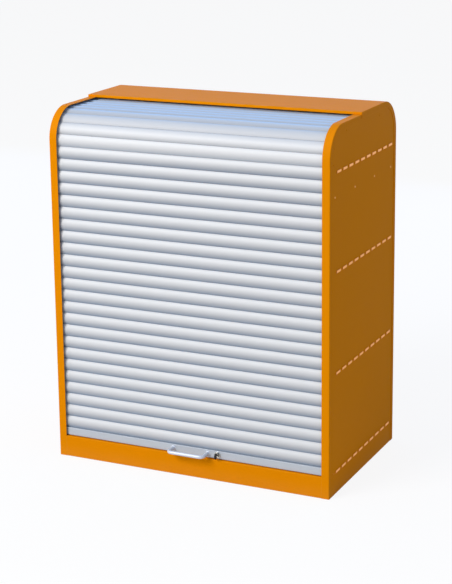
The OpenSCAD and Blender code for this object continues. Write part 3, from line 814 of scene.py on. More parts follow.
# %% Top cover and back panel
COVER_FOLD = 2.0 * MM
cover_low, cover_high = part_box("top_cover")
back_low, back_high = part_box("back_panel")
SKIRT_X = cover_high.x
SKIRT_LAP = REAR - back_low.y
COVER_RISE = cover_high.z - PANEL_TOP
LIP_DROP, LIP_PLAY = 0.5 * MM, 0.3 * MM
LIP_FOOT = PANEL_TOP - LIP_DROP
UNDER_COVER = (0, 0.1, 1.0)
SKIRT_GAP = 0.2 * MM
LIP_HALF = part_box("right_edge_band")[0].x - LIP_PLAY


def make_cover():
    """The cover's skin: skirt, top and skirt along the outline, and the lip across the front."""
    bm = bmesh.new()
    path = dict(top_from=cover_low.y, tail=cover_low.z)
    xs = [-SKIRT_X, -LIP_HALF, LIP_HALF, SKIRT_X]
    edge = [(-SKIRT_X, SKIRT_LAP)] + [(x, -COVER_RISE) for x in xs] + [(SKIRT_X, SKIRT_LAP)]
    rows = [[(x, y, z) for y, z in side_outline(inset, **path)] for x, inset in edge]
    sheet(bm, rows)
    skirt_foot = PANEL_TOP + SKIRT_GAP
    sheet(bm, [[(x, cover_low.y, z) for x in xs] for z in (cover_high.z, skirt_foot)])
    sheet(bm, [[(x, cover_low.y, z) for x in xs[1:3]] for z in (skirt_foot, LIP_FOOT)])
    bmesh.ops.remove_doubles(bm, verts=bm.verts, dist=1e-6)
    cover = new_object("top_cover_sheet", bm, ORANGE, inside=UNDER_COVER)
    thicken(round_edges(cover, COVER_FOLD, 4), SHEET)
    return settle(cover, "carcass", "orange_enamel", "top_cover")


def make_back():
    """The back panel's skin: its face, two side skirts and a foot flange."""
    low, high = back_low, back_high
    bm = bmesh.new()
    ys = (low.y, REAR + SKIRT_GAP, high.y)
    for rows in (
        [[(x, high.y, z) for x in (low.x, high.x)] for z in (low.z, high.z)],
        [[(x, y, low.z) for x in (low.x, high.x)] for y in ys[1:]],
        [[(low.x, y, z) for y in ys] for z in (low.z, high.z)],
        [[(high.x, y, z) for y in ys] for z in (low.z, high.z)],
    ):
        sheet(bm, rows)
    back = new_object("back_panel_sheet", bm, ORANGE, inside=MIDDLE)
    thicken(round_edges(back, COVER_FOLD, 4), SHEET)
    return settle(back, "carcass", "orange_enamel", "back_panel")


make_cover()
make_back()

# %% [markdown]
# ## Plinth
#
# The plinth closes the front below the shutter. Its face stands flush with the two bands, its top folds back
# as a ledge for the seal, and its foot folds back on the floor. The ledge has a slot that the lock's cam
# drops through. Cutting it would need a Boolean on a thin sheet, so that part of the skin is laid out as a
# grid with one field left open.

# %% Plinth
FOOT_RETURN = 38 * MM
SLOT_REACH = 2.5 * MM
SLOT_SIDE = 2.0 * MM
plinth_low, plinth_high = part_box("plinth")
cam_low, cam_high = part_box("lock_cam")
plug_low, plug_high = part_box("lock_plug")
lock_axis = (plug_low + plug_high) / 2
CAM_LEN = lock_axis.z - cam_low.z
slot_xs = (cam_low.x - SLOT_REACH, lock_axis.x + CAM_LEN + SLOT_REACH)
slot_ys = (cam_low.y - SLOT_SIDE, cam_high.y + SLOT_SIDE)


def make_plinth():
    """The plinth's skin, with the cam's slot."""
    bm = bmesh.new()
    face = plinth_low.y
    xs = [-LIP_HALF, *slot_xs, LIP_HALF]
    ys = [face, *slot_ys, plinth_high.y]
    sheet(bm, [[(x, face, z) for x in xs] for z in (0.0, plinth_high.z)])
    sheet(bm, [[(x, y, 0.0) for x in xs] for y in (face, face + FOOT_RETURN)])
    for i in range(3):
        for k in range(3):
            if (i, k) != (1, 1):
                sheet(bm, [[(x, y, plinth_high.z) for x in xs[i:i + 2]] for y in ys[k:k + 2]])
    bmesh.ops.remove_doubles(bm, verts=bm.verts, dist=1e-6)
    plinth = new_object("plinth_sheet", bm, ORANGE, inside=(0, face + FOOT_RETURN / 2, plinth_high.z / 2))
    thicken(round_edges(plinth, COVER_FOLD, 4), SHEET)
    settle(plinth, "carcass", "orange_enamel", "plinth")


make_plinth()

# %% Plinth's laps
LAP = 20 * MM


def box_faces(bm, low, high):
    """A closed cuboid between two corners."""
    ring = [(low[0], low[2]), (high[0], low[2]), (high[0], high[2]), (low[0], high[2])]
    sheet(bm, [[(x, low[1], z), (x, high[1], z)] for x, z in ring + ring[:1]])
    for y in (low[1], high[1]):
        bm.faces.new([bm.verts.new((x, y, z)) for x, z in ring])


def make_plinth_laps():
    """The strips that lap behind the bands."""
    face = plinth_low.y
    laps = bmesh.new()
    for sign in SIDES.values():
        x0, x1 = sorted((sign * (LIP_HALF - LAP), sign * (LIP_HALF + LAP)))
        box_faces(laps, (x0, face + SHEET, 2 * SHEET), (x1, face + 2 * SHEET, plinth_high.z - 2 * SHEET))
    strips = new_object("plinth_laps", laps, ORANGE)
    settle(round_edges(strips, radius=0.3 * MM, steps=2), "carcass", "orange_enamel")


make_plinth_laps()

# %% [markdown]
# ## Pieces that repeat on places
#
# Tabs, rivets and screws are one shape set down many times. A Geometry Nodes tree does it: the object holds
# one mesh corner for each place, and the tree puts a copy of the shape on each, turned to face outwards and
# twisted by a seeded random angle. A loop that copies meshes would do as well, but in the tree the shape, the
# facing and the twist stay named inputs. It ends in Realize Instances and Set Material, and `grow` turns the
# result into a plain mesh.

# %% Tree that sets a piece on places
def input_names(tree):
    """Each input socket's identifier, by its name."""
    return {s.name: s.identifier for s in tree.interface.items_tree
            if s.item_type == "SOCKET" and s.in_out == "INPUT"}


def places_tree():
    """Geometry Nodes: a piece on every corner of the mesh, facing one way, with a random twist."""
    tree, given, put = open_group("set on places", "GeometryNodeTree",
        [("Places", "Geometry", None), ("Piece", "Object", None), ("Facing", "Vector", None),
         ("Twist", "Float", 0.0), ("Seed", "Int", 1), ("Finish", "Material", None)], [("Pieces", "Geometry")])
    shape = add(tree, "GeometryNodeObjectInfo")
    spread = add(tree, "GeometryNodeInstanceOnPoints")
    facing = add(tree, "FunctionNodeEulerToRotation")
    chance = add(tree, "FunctionNodeRandomValue", data_type="FLOAT")
    about = add(tree, "ShaderNodeCombineXYZ")
    twist = add(tree, "FunctionNodeEulerToRotation")
    rotated = add(tree, "FunctionNodeRotateRotation", rotation_space="LOCAL")
    real = add(tree, "GeometryNodeRealizeInstances")
    dress = add(tree, "GeometryNodeSetMaterial")
    span = next(s for s in chance.inputs if s.name == "Max" and s.type == "VALUE")
    angle = next(s for s in chance.outputs if s.enabled)
    for source, target in (
        (given.outputs["Piece"], shape.inputs["Object"]), (given.outputs["Places"], spread.inputs["Points"]),
        (shape.outputs["Geometry"], spread.inputs["Instance"]), (given.outputs["Facing"], facing.inputs[0]),
        (given.outputs["Twist"], span), (given.outputs["Seed"], chance.inputs["Seed"]),
        (angle, about.inputs["Z"]), (about.outputs[0], twist.inputs[0]),
        (facing.outputs[0], rotated.inputs["Rotation"]), (twist.outputs[0], rotated.inputs["Rotate By"]),
        (rotated.outputs[0], spread.inputs["Rotation"]), (spread.outputs[0], real.inputs["Geometry"]),
        (real.outputs[0], dress.inputs["Geometry"]), (given.outputs["Finish"], dress.inputs["Material"]),
        (dress.outputs[0], put.inputs["Pieces"]),
    ):
        tree.links.new(source, target)
    return tree


PLACES = places_tree()


def grow(name, tree, points, links, finish, **values):
    """An object made by a Geometry Nodes tree on points and the links between them."""
    mesh = bpy.data.meshes.new(name)
    mesh.from_pydata(points, links, [])
    made = bpy.data.objects.new(name, mesh)
    scene.collection.objects.link(made)
    mod = made.modifiers.new(tree.name, "NODES")
    mod.node_group = tree
    names = input_names(tree)
    for label, value in {**values, "Finish": finish}.items():
        mod[names[label]] = value
    bake(made)
    made.data.materials.clear()
    made.data.materials.append(finish)
    return made


print("tree", PLACES.name, sorted(input_names(PLACES)))

# %% [markdown]
# ## Shelves and their tabs
#
# Each shelf is a sheet with a lip folded down at the front. Tabs on its ends pass through slots in the sides
# and are clinched upwards outside, which is why rows of short bright dashes show there. A block in each slot
# would give the dash but not the bend that catches the light. So the clinched tab is a strip bent round a
# tight radius, drawn out over the tab's length, and the tree above sets it on every slot.

# %% Shelves
def make_shelf(node):
    """A shelf's skin: the sheet and its front lip."""
    low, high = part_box(node)
    edge = max(p.x for p in corners(node) if p.x < panel_low.x)
    bm = bmesh.new()
    xs = (-edge, edge)
    line = ((low.y, low.z), (low.y, high.z), (high.y, high.z))
    sheet(bm, [[(x, y, z) for x in xs] for y, z in line])
    shelf = new_object(node + "_sheet", bm, ORANGE, inside=(0, 0, low.z))
    thicken(round_edges(shelf, COVER_FOLD, 4), SHEET)
    return settle(shelf, "carcass", "orange_enamel", node)


for shelf in SHELVES:
    make_shelf(shelf)

# %% Clinched tabs
CLINCH = 9 * MM
TAB_BEND_STEPS = 6


def tab_shape(length, out, root):
    """One clinched tab for the right side, with its slot's middle at the origin."""
    half = SHEET / 2
    turns = [math.radians(90 - 90 * i / TAB_BEND_STEPS) for i in range(TAB_BEND_STEPS + 1)]

    def bend(radius):
        return [(radius * math.cos(t), half - out + radius * math.sin(t)) for t in turns]

    outer = [(root, half), *bend(out), (out, half - CLINCH)]
    inner = [(root, -half), *bend(out - SHEET), (out - SHEET, half - CLINCH)][::-1]
    bm = bmesh.new()
    loft(bm, [[(x, y, -z) for x, z in outer + inner] for y in (-length / 2, length / 2)])
    tab = new_object("tab_shape", bm, CLINCHED)
    round_edges(tab, radius=0.25 * MM, steps=2)
    bake(tab)
    return tab


def make_tabs():
    """The tabs of all shelves, one mesh for each side."""
    spans = tab_spans(SHELVES[0])[0]
    edge = max(p.x for p in corners(SHELVES[0]) if p.x < panel_low.x)
    shape = tab_shape(spans[0][1] - spans[0][0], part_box(SHELVES[0])[1].x - HALF_W, edge - HALF_W)
    for side, sign in SIDES.items():
        points = []
        for shelf in SHELVES:
            spans, top = tab_spans(shelf)
            points += [(sign * HALF_W, (y0 + y1) / 2, top - SHEET / 2) for y0, y1 in spans]
        facing = (0, 0, 0 if sign > 0 else math.pi)
        tabs = grow(side + "_shelf_tabs", PLACES, points, [], CLINCHED, Piece=shape, Facing=facing, Seed=1)
        settle(tabs, "carcass", "orange_enamel")
    remove(shape)


make_tabs()

# %% [markdown]
# ## Rivets and screws
#
# A rivet head is a low dome with a dimple where its pin broke off. A screw head is a low pan with a cross
# recess, cut out with a Boolean. A Screw modifier could turn such shapes too. Here they are turned directly
# from a list of radius and height, so one short function serves them all, and the places come from the
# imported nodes. The side screws were painted over with the carcass. The rivets' coat is thin, as on the tabs,
# so they look paler, and the plated screws of the back are bare.

# %% Turned shapes
TURN_STEPS = 24
HEAD_R, HEAD_H = 3.5 * MM, 1.2 * MM
SHANK_R, TAIL_R = 2.0 * MM, 2.8 * MM
GRIP = 3.5 * MM
DIMPLE_R, DIMPLE_FLOOR_R, DIMPLE_DEPTH = 0.9 * MM, 0.7 * MM, 0.5 * MM


def full_turn(steps):
    """Angles all the way round."""
    return [2 * math.pi * i / steps for i in range(steps)]


def turned(bm, profile, steps=TURN_STEPS, to_world=None):
    """A turned shape from a list of radius and height. Heights run along Z unless a matrix says otherwise."""
    ring = full_turn(steps)
    rows = [[Vector((r * math.cos(t), r * math.sin(t), h)) for t in ring] for r, h in profile]
    if to_world is not None:
        rows = [[to_world @ p for p in row] for row in rows]
    return loft(bm, rows)


def dome(radius, height, steps=5):
    """Radius and height along a low dome."""
    return [(radius * math.cos(t), height * math.sin(t)) for t in quarter_turn(steps)[:-1]]


def rivet_shape():
    """A blind rivet, with its head on the outside of the sheet."""
    bm = bmesh.new()
    dimple = [(DIMPLE_R, HEAD_H), (DIMPLE_FLOOR_R, HEAD_H - DIMPLE_DEPTH)]
    tail = [(TAIL_R * 0.8, -GRIP - HEAD_H), (TAIL_R, -GRIP - HEAD_H * 0.6), (TAIL_R, -GRIP)]
    turned(bm, [*tail, (SHANK_R, -GRIP), (SHANK_R, 0), *dome(HEAD_R, HEAD_H), *dimple])
    return new_object("rivet_shape", bm, CLINCHED)


def screw_shape(head_r, head_h, shank_r, grip):
    """A pan-head screw with a cross recess."""
    bm = bmesh.new()
    shares = ((1, 0), (1, 0.35), (0.93, 0.7), (0.78, 0.93), (0.55, 1))
    pan = [(head_r * across, head_h * up) for across, up in shares]
    turned(bm, [(shank_r * 0.6, -grip), (shank_r, -grip + shank_r * 0.4), (shank_r, 0), *pan])
    screw = new_object("screw_shape", bm, ZINC)
    wing, slit, depth = head_r * 0.55, head_r * 0.13, head_h * 0.55
    for x, y in ((wing, slit), (slit, wing)):
        bm = bmesh.new()
        box_faces(bm, (-x, -y, head_h - depth), (x, y, head_h + 1 * MM))
        cut(screw, new_object("recess", bm, ZINC))
    return screw


# %% Rows of fasteners
TO_REAR = (-math.pi / 2, 0, 0)


def middles(node):
    """The middle of each solid of a node."""
    return [(low + high) / 2 for low, high in solids(node)]


def make_side_fasteners():
    """Rivets and track screws on both sides."""
    rivet = rivet_shape()
    screw = screw_shape(HEAD_R, HEAD_H, SHANK_R, GRIP + HEAD_H)
    for side, sign in SIDES.items():
        facing = (0, sign * math.pi / 2, 0)
        rows = (("rivets", rivet, CLINCHED, 3), ("track_screws", screw, ORANGE, 5))
        for kind, shape, finish, seed in rows:
            node = side + "_" + kind
            points = [(sign * HALF_W, m.y, m.z) for m in middles(node)]
            row = grow(node + "_row", PLACES, points, [], finish, Piece=shape, Facing=facing,
                       Twist=math.pi, Seed=seed)
            settle(row, "carcass", "orange_enamel", node)
    remove(rivet)
    remove(screw)


def make_back_screws():
    """The screws round the back panel."""
    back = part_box("back_panel")[1].y
    low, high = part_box("cover_screws")
    screw = screw_shape(HEAD_R, high.y - back, SHANK_R, back - low.y)
    points = [(m.x, back, m.z) for m in middles("cover_screws")]
    row = grow("cover_screw_row", PLACES, points, [], ZINC, Piece=screw, Facing=TO_REAR,
               Twist=math.pi, Seed=7)
    remove(screw)
    settle(row, "carcass", "zinc_steel", "cover_screws")


make_side_fasteners()
make_back_screws()

# %% [markdown]
# ## Guide tracks
#
# A nylon track is screwed inside each side. Its two legs hold the ends of the slats, and the web between them
# lies on the sheet. A curve with a bevel profile could make it too. Here one section, with rounded tips, is
# carried along the same outline as the side, so it stays parallel to the sheet from the plinth up, over and
# down the back.

# %% Guide tracks
TIP_STEPS = 4
TRACK_WEB, TRACK_LEG = 2 * MM, 2.5 * MM
GROOVE_IN, FLANGE_IN = 21.5 * MM, 33.5 * MM


def track_section():
    """The track's section for the right side, as X and depth below the outline."""
    low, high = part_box("right_guide_track")
    web, outer_leg = high.x - TRACK_WEB, low.y - FRONT

    def tip(depth):
        radius = TRACK_LEG / 2
        turns = [math.radians(-90 - 180 * i / TIP_STEPS) for i in range(TIP_STEPS + 1)]
        return [(low.x + radius + radius * math.cos(t), depth + radius + radius * math.sin(t)) for t in turns]

    return [(high.x, outer_leg), *tip(outer_leg), (web, outer_leg + TRACK_LEG), (web, GROOVE_IN),
            *tip(GROOVE_IN), (web, GROOVE_IN + TRACK_LEG), (web, FLANGE_IN), (high.x, FLANGE_IN)]


def make_tracks():
    """Both tracks."""
    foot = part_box("right_guide_track")[0].z
    rear_foot = min(p.z for p in corners("right_guide_track") if p.y > 0)
    for side, sign in SIDES.items():
        bm = bmesh.new()
        lines = [[(sign * x, y, z) for y, z in side_outline(inset, foot, rear_foot)]
                 for x, inset in track_section()]
        loft(bm, [list(row) for row in zip(*lines)])
        track = new_object(side + "_track_run", bm, NYLON)
        settle(track, "carcass", "track_nylon", side + "_guide_track")


make_tracks()

# %% [markdown]
# ## The slats
#
# Every slat is the same hollow aluminium section, a convex front on a flat back, drawn out over the
# cabinet's width. What differs is only where it sits: joint to joint along a line that goes up, round the
# corner and back. So a second Geometry Nodes tree takes that line as three corners, rounds it with Fillet
# Curve, measures along it with Sample Curve, and sets a slat between each pair of joints, shortened a little
# where the line curves. The runners on the joints come from the same tree.
#
# The front slats and their runners are each given a mesh of their own.

# %% Tree that follows the shutter's line
def shutter_tree():
    """Geometry Nodes: a piece at steps along a line with one rounded corner, lying along a chord of it."""
    tree, given, put = open_group("along the shutter", "GeometryNodeTree",
        [("Line", "Geometry", None), ("Piece", "Object", None), ("Count", "Int", 10), ("First", "Int", 0),
         ("Pitch", "Float", 0.04), ("Behind", "Float", 0.0), ("Ahead", "Float", 0.04),
         ("Bend", "Float", 0.09), ("Finish", "Material", None)], [("Pieces", "Geometry")])
    curve = add(tree, "GeometryNodeMeshToCurve")
    bend = add(tree, "GeometryNodeFilletCurve", mode="POLY")
    bend.inputs["Count"].default_value = 64
    points = add(tree, "GeometryNodePoints")
    index = add(tree, "GeometryNodeInputIndex")
    step = maths(tree, "ADD", index.outputs[0], given.outputs["First"])
    along = maths(tree, "MULTIPLY", step, given.outputs["Pitch"])
    tree.links.new(given.outputs["Line"], curve.inputs["Mesh"])
    tree.links.new(curve.outputs[0], bend.inputs["Curve"])
    tree.links.new(given.outputs["Bend"], bend.inputs["Radius"])
    tree.links.new(given.outputs["Count"], points.inputs["Count"])

    def point_at(length):
        sample = add(tree, "GeometryNodeSampleCurve", mode="LENGTH")
        tree.links.new(bend.outputs[0], sample.inputs["Curves"])
        tree.links.new(length, sample.inputs["Length"])
        return sample.outputs["Position"]

    chord = add(tree, "ShaderNodeVectorMath", operation="SUBTRACT")
    tree.links.new(point_at(maths(tree, "ADD", along, given.outputs["Ahead"])), chord.inputs[0])
    tree.links.new(point_at(maths(tree, "SUBTRACT", along, given.outputs["Behind"])), chord.inputs[1])
    length = add(tree, "ShaderNodeVectorMath", operation="LENGTH")
    tree.links.new(chord.outputs[0], length.inputs[0])
    straight = maths(tree, "ADD", given.outputs["Ahead"], given.outputs["Behind"])
    size = add(tree, "ShaderNodeCombineXYZ", {"X": 1.0, "Y": 1.0})
    tree.links.new(maths(tree, "DIVIDE", length.outputs["Value"], straight), size.inputs["Z"])
    aim = add(tree, "FunctionNodeAlignRotationToVector", axis="Z", pivot_axis="X")
    tree.links.new(chord.outputs[0], aim.inputs["Vector"])
    placed = add(tree, "GeometryNodeSetPosition")
    tree.links.new(points.outputs[0], placed.inputs["Geometry"])
    tree.links.new(point_at(along), placed.inputs["Position"])
    shape = add(tree, "GeometryNodeObjectInfo")
    spread = add(tree, "GeometryNodeInstanceOnPoints")
    real = add(tree, "GeometryNodeRealizeInstances")
    dress = add(tree, "GeometryNodeSetMaterial")
    for source, target in (
        (given.outputs["Piece"], shape.inputs["Object"]), (placed.outputs[0], spread.inputs["Points"]),
        (shape.outputs["Geometry"], spread.inputs["Instance"]), (aim.outputs[0], spread.inputs["Rotation"]),
        (size.outputs[0], spread.inputs["Scale"]), (spread.outputs[0], real.inputs["Geometry"]),
        (real.outputs[0], dress.inputs["Geometry"]), (given.outputs["Finish"], dress.inputs["Material"]),
        (dress.outputs[0], put.inputs["Pieces"]),
    ):
        tree.links.new(source, target)
    return tree


SHUTTER = shutter_tree()
print("tree", SHUTTER.name, sorted(input_names(SHUTTER)))

# %% [markdown]
# ### One slat, set down many times
#
# The slat's section is an arc in front and a flat back with sloped shoulders. The same outline, moved in by
# the wall, makes the hollow inside. An Array modifier on a curve would bend each copy, but real slats stay
# straight, so one slat is drawn out over the width and the tree above sets it down. Each corner of its mesh
# keeps a number, its height on the slat, and every copy takes that along for the painted shade.

# %% The slat's section
SLAT_CROWN, SLAT_BACK, SLAT_EDGE = 6 * MM, 4 * MM, 0.5 * MM
SLAT_WALL = 1.2 * MM
SLAT_FOOT = 4 * MM
CROWN_STEPS = 16
front_boxes = sorted(solids("front_slats"), key=lambda box: box[0].z)
front_low, front_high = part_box("front_slats")
PITCH_UP = front_boxes[1][0].z - front_boxes[0][0].z
SLAT_GAP = PITCH_UP - (front_boxes[0][1].z - front_boxes[0][0].z)
print("slat pitch", round(PITCH_UP, 4), "gap", round(SLAT_GAP, 5))


def slat_loop(wall):
    """The slat's section, moved in by a wall, as Y and Z above its lower joint."""
    middle = PITCH_UP / 2
    half = middle - SLAT_GAP / 2
    sag = SLAT_CROWN - SLAT_EDGE
    radius = (half * half + sag * sag) / (2 * sag)
    end = half - wall
    top = SLAT_CROWN - radius
    ups = [-end + 2 * end * i / CROWN_STEPS for i in range(CROWN_STEPS + 1)]
    crown = [(-(top + math.sqrt((radius - wall) ** 2 - u * u)), middle + u) for u in ups]
    foot = middle - SLAT_FOOT - wall * 0.6
    back = SLAT_BACK - wall
    rear = [(SLAT_EDGE, end), (back, foot), (back, -foot), (SLAT_EDGE, -end)]
    return crown + [(y, middle + u) for y, u in rear]


def hollow(bm, outer, inner, x0, x1):
    """A hollow section drawn out along X, with ring-shaped ends."""
    skins = [loft(bm, [[(x, y, z) for y, z in loop] for x in (x0, x1)], capped=False)
             for loop in (outer, inner)]
    for end in (0, 1):
        out, within = skins[0][end], skins[1][end]
        for i in range(len(out)):
            j = (i + 1) % len(out)
            bm.faces.new((out[i], out[j], within[j], within[i]))


# %% Slat and runner shapes
RUNNER_HALF = 5 * MM
SLAT_HALF = front_high.x
JOINT_Y = front_low.y + SLAT_CROWN


def slat_shape():
    """One slat, with its lower joint at the origin."""
    bm = bmesh.new()
    hollow(bm, slat_loop(0.0), slat_loop(SLAT_WALL), -SLAT_HALF, SLAT_HALF)
    slat = new_object("slat_shape", bm, SLAT_SILVER)
    rise = slat.data.attributes.new("rise", "FLOAT", "POINT")
    for vert, mark in zip(slat.data.vertices, rise.data):
        mark.value = vert.co.z / PITCH_UP
    return slat


def runner_shape():
    """The two runners of one joint, with the joint at the origin."""
    low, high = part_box("front_runners")
    bm = bmesh.new()
    for sign in SIDES.values():
        x0, x1 = sorted((sign * SLAT_HALF, sign * high.x))
        box_faces(bm, (x0, low.y - JOINT_Y, -RUNNER_HALF), (x1, high.y - JOINT_Y, RUNNER_HALF))
    runners = new_object("runner_shape", bm, NYLON)
    bake(round_edges(runners, radius=1.2 * MM))
    return runners


# %% The curtain of slats
RUNNER_CHORD = 2 * MM
JOINT_IN = JOINT_Y - FRONT
LINE_FOOT = front_low.z - SLAT_GAP / 2
UPPER_COUNT = len(solids("corner_slats")) + len(solids("top_slats"))


def shutter_run(name, shape, count, first, behind, ahead, finish):
    """Copies of a shape along the shutter's line."""
    line = [(0, JOINT_Y, LINE_FOOT), (0, JOINT_Y, PANEL_TOP - JOINT_IN), (0, REAR, PANEL_TOP - JOINT_IN)]
    return grow(name, SHUTTER, line, [(0, 1), (1, 2)], finish, Piece=shape, Count=count, First=first,
                Pitch=PITCH_UP, Behind=behind, Ahead=ahead, Bend=CORNER_R - JOINT_IN)


def make_shutter():
    """Front, corner and top slats, and their runners."""
    count = len(front_boxes)
    slat, runner = slat_shape(), runner_shape()
    chord = RUNNER_CHORD
    front = shutter_run("front_slat_curtain", slat, count, 0, 0.0, PITCH_UP, SLAT_SILVER)
    upper = shutter_run("upper_slat_curtain", slat, UPPER_COUNT, count, 0.0, PITCH_UP, UPPER_SILVER)
    front_feet = shutter_run("front_runner_pairs", runner, count - 1, 1, chord, chord, NYLON)
    upper_feet = shutter_run("upper_runner_pairs", runner, UPPER_COUNT + 1, count, chord, chord, NYLON)
    remove(slat)
    remove(runner)
    settle(front, "carcass", "slat_aluminium", "front_slats")
    settle(upper, "carcass", "slat_aluminium", "corner_slats", "top_slats")
    settle(front_feet, "carcass", "track_nylon", "front_runners")
    settle(upper_feet, "carcass", "track_nylon", "upper_runners")
    for piece in (front, front_feet):
        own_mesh(piece)


make_shutter()

# %% [markdown]
# ## Bottom bar and seal
#
# The bar is a hollow rectangular extrusion with rounded edges, bored for the handle's screws and the lock. A
# rubber seal with a round lip hangs under it, and nylon caps close its ends and run in the tracks. Blocks
# with bevels could stand for them. Here the bar and the seal are drawn out from their sections, as in the
# factory, and only the round holes are cut afterwards.

# %% Bottom bar
BAR_WALL = 2 * MM
BAR_ROUND = 1.2 * MM
ROUND_STEPS = 4
SCREW_HOLE_R, LOCK_HOLE_R = 2.55 * MM, 8.05 * MM
bar_low, bar_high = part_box("bottom_bar")
handle_low, handle_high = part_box("handle")
BAR_MID = (handle_low.z + handle_high.z) / 2
lock_low, lock_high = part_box("lock_housing")
LOCK_X = (lock_low.x + lock_high.x) / 2
handle_places = middles("handle_screws")


def rounded_loop(low, high, radius):
    """A rounded rectangle as Y and Z."""
    points = []
    for y, z, start in ((high[0] - radius, high[1] - radius, 0), (low[0] + radius, high[1] - radius, 90),
                        (low[0] + radius, low[1] + radius, 180), (high[0] - radius, low[1] + radius, 270)):
        points += arc(y, z, radius, start, start + 90, ROUND_STEPS)
    return points


def along_y(x, z):
    """A matrix that lays a turned shape along the cabinet's depth."""
    return Matrix.Translation((x, 0, z)) @ Matrix.Rotation(-math.pi / 2, 4, "X")


def drill(piece, x, z, radius, y0, y1):
    """A round hole along the depth."""
    bm = bmesh.new()
    turned(bm, [(radius, y0), (radius, y1)], to_world=along_y(x, z))
    return cut(piece, new_object("drill", bm, ZINC))


def make_bar():
    """The bar with its holes."""
    bm = bmesh.new()
    outer = rounded_loop((bar_low.y, bar_low.z), (bar_high.y, bar_high.z), BAR_ROUND)
    inner = rounded_loop((bar_low.y + BAR_WALL, bar_low.z + BAR_WALL),
                         (bar_high.y - BAR_WALL, bar_high.z - BAR_WALL), BAR_ROUND / 2)
    hollow(bm, outer, inner, bar_low.x, bar_high.x)
    bar = new_object("bottom_bar_section", bm, BAR_SILVER)
    holes = [(m.x, SCREW_HOLE_R) for m in handle_places] + [(LOCK_X, LOCK_HOLE_R)]
    for x, radius in holes:
        drill(bar, x, BAR_MID, radius, bar_low.y - 2 * MM, bar_high.y + 2 * MM)
    settle(bar, "shutter", "bar_aluminium", "bottom_bar")


make_bar()

# %% Seal
seal_low, seal_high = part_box("bar_seal")
LIP_SHARE = 0.6
LIP_STEPS = 8


def make_seal():
    """The seal under the bar, with its round lip."""
    bm = bmesh.new()
    middle, half = (seal_low.y + seal_high.y) / 2, (seal_high.y - seal_low.y) / 2
    lip = arc(middle, seal_low.z + half * LIP_SHARE, half * LIP_SHARE, 180, 360, LIP_STEPS)
    profile = [(seal_low.y, seal_high.z)] + lip + [(seal_high.y, seal_high.z)]
    loft(bm, [[(x, y, z) for y, z in profile] for x in (seal_low.x, seal_high.x)])
    settle(new_object("bar_seal_strip", bm, RUBBER), "shutter", "seal_rubber", "bar_seal")


make_seal()

# %% End caps
def make_end_caps():
    """The caps that close the bar and run in the tracks."""
    bm = bmesh.new()
    for low, high in solids("bar_end_caps"):
        box_faces(bm, low, high)
    caps = round_edges(new_object("bar_end_cap_pair", bm, NYLON), radius=1.0 * MM)
    settle(caps, "shutter", "track_nylon", "bar_end_caps")


make_end_caps()

# %% [markdown]
# ## Handle
#
# The handle is one round rod bent into a bow, with a small flared foot at each end. A bevelled curve with a
# radius at every point could give the same rod. Here a ring of points is carried along the bow's centre line,
# wider at the feet, which makes the mesh directly. The screws that hold it come through the bar from behind.

# %% Handle
FOOT_FLARE = 2 * MM
BOW_R = 14 * MM
ROD_STEPS = 28
BOW_STEPS = 12
FOOT_R = (handle_high.z - handle_low.z) / 2
ROD_R = FOOT_R - FOOT_FLARE
POST_X = max(m.x for m in handle_places)
GRIP_Y = handle_low.y + ROD_R


def bow_line():
    """Points along half of the bow, from the right foot to the middle, with the rod's radius."""
    flare = [(0.0, FOOT_R), (0.4, FOOT_R), (0.9, FOOT_R - 0.5 * MM), (1.5, ROD_R + 0.5 * MM), (2.4, ROD_R)]
    line = [((POST_X, handle_high.y - rise * MM), (0, -1), radius) for rise, radius in flare]
    for t in quarter_turn(BOW_STEPS):
        at = (POST_X - BOW_R + BOW_R * math.cos(t), GRIP_Y + BOW_R - BOW_R * math.sin(t))
        line.append((at, (-math.sin(t), -math.cos(t)), ROD_R))
    return line


def make_handle():
    """The bow, from its two halves."""
    half = bow_line()
    other = [((-at[0], at[1]), (way[0], -way[1]), radius) for at, way, radius in reversed(half)]
    rows = []
    for at, way, radius in half + other:
        side = (-way[1], way[0])
        rows.append([(at[0] + side[0] * radius * math.cos(t), at[1] + side[1] * radius * math.cos(t),
                      BAR_MID + radius * math.sin(t)) for t in full_turn(ROD_STEPS)])
    bm = bmesh.new()
    loft(bm, rows)
    settle(new_object("bow_handle", bm, HANDLE_STEEL), "shutter", "handle_steel", "handle")


make_handle()

# %% Handle's screws
SCREW_HEAD_R, SCREW_SHANK_R = 4.5 * MM, 2.5 * MM


def make_handle_screws():
    """The screws that hold the handle from behind the bar."""
    low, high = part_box("handle_screws")
    screw = screw_shape(SCREW_HEAD_R, high.y - bar_high.y, SCREW_SHANK_R, bar_high.y - low.y)
    points = [(m.x, bar_high.y, m.z) for m in handle_places]
    row = grow("handle_screw_pair", PLACES, points, [], ZINC, Piece=screw, Facing=TO_REAR,
               Twist=math.pi, Seed=9)
    remove(screw)
    settle(row, "shutter", "zinc_steel", "handle_screws")


make_handle_screws()

# %% [markdown]
# ## Lock
#
# The cam lock is turned brass with a nickel plate: a flange in front, a threaded barrel through the bar, and
# a plug with a keyway. The housing could be several cylinders joined with Booleans. One turned profile is
# cleaner: it starts in the bore, goes over the flange and back along the rings of the thread. The keyway is
# cut out of the plug. The nut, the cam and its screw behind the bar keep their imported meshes.

# %% Lock housing
LOCK_STEPS = 48
FLANGE_R, BARREL_R, BORE_R = 11 * MM, 8 * MM, 5.55 * MM
THREAD, THREAD_DEPTH = 1.0 * MM, 0.35 * MM
BROW_R, BROW_STEPS = 1.0 * MM, 4
LEAD_IN = ((0.0, 0.6), (0.4, 0.2), (1.0, 0.0))
TO_LOCK = along_y(LOCK_X, BAR_MID)


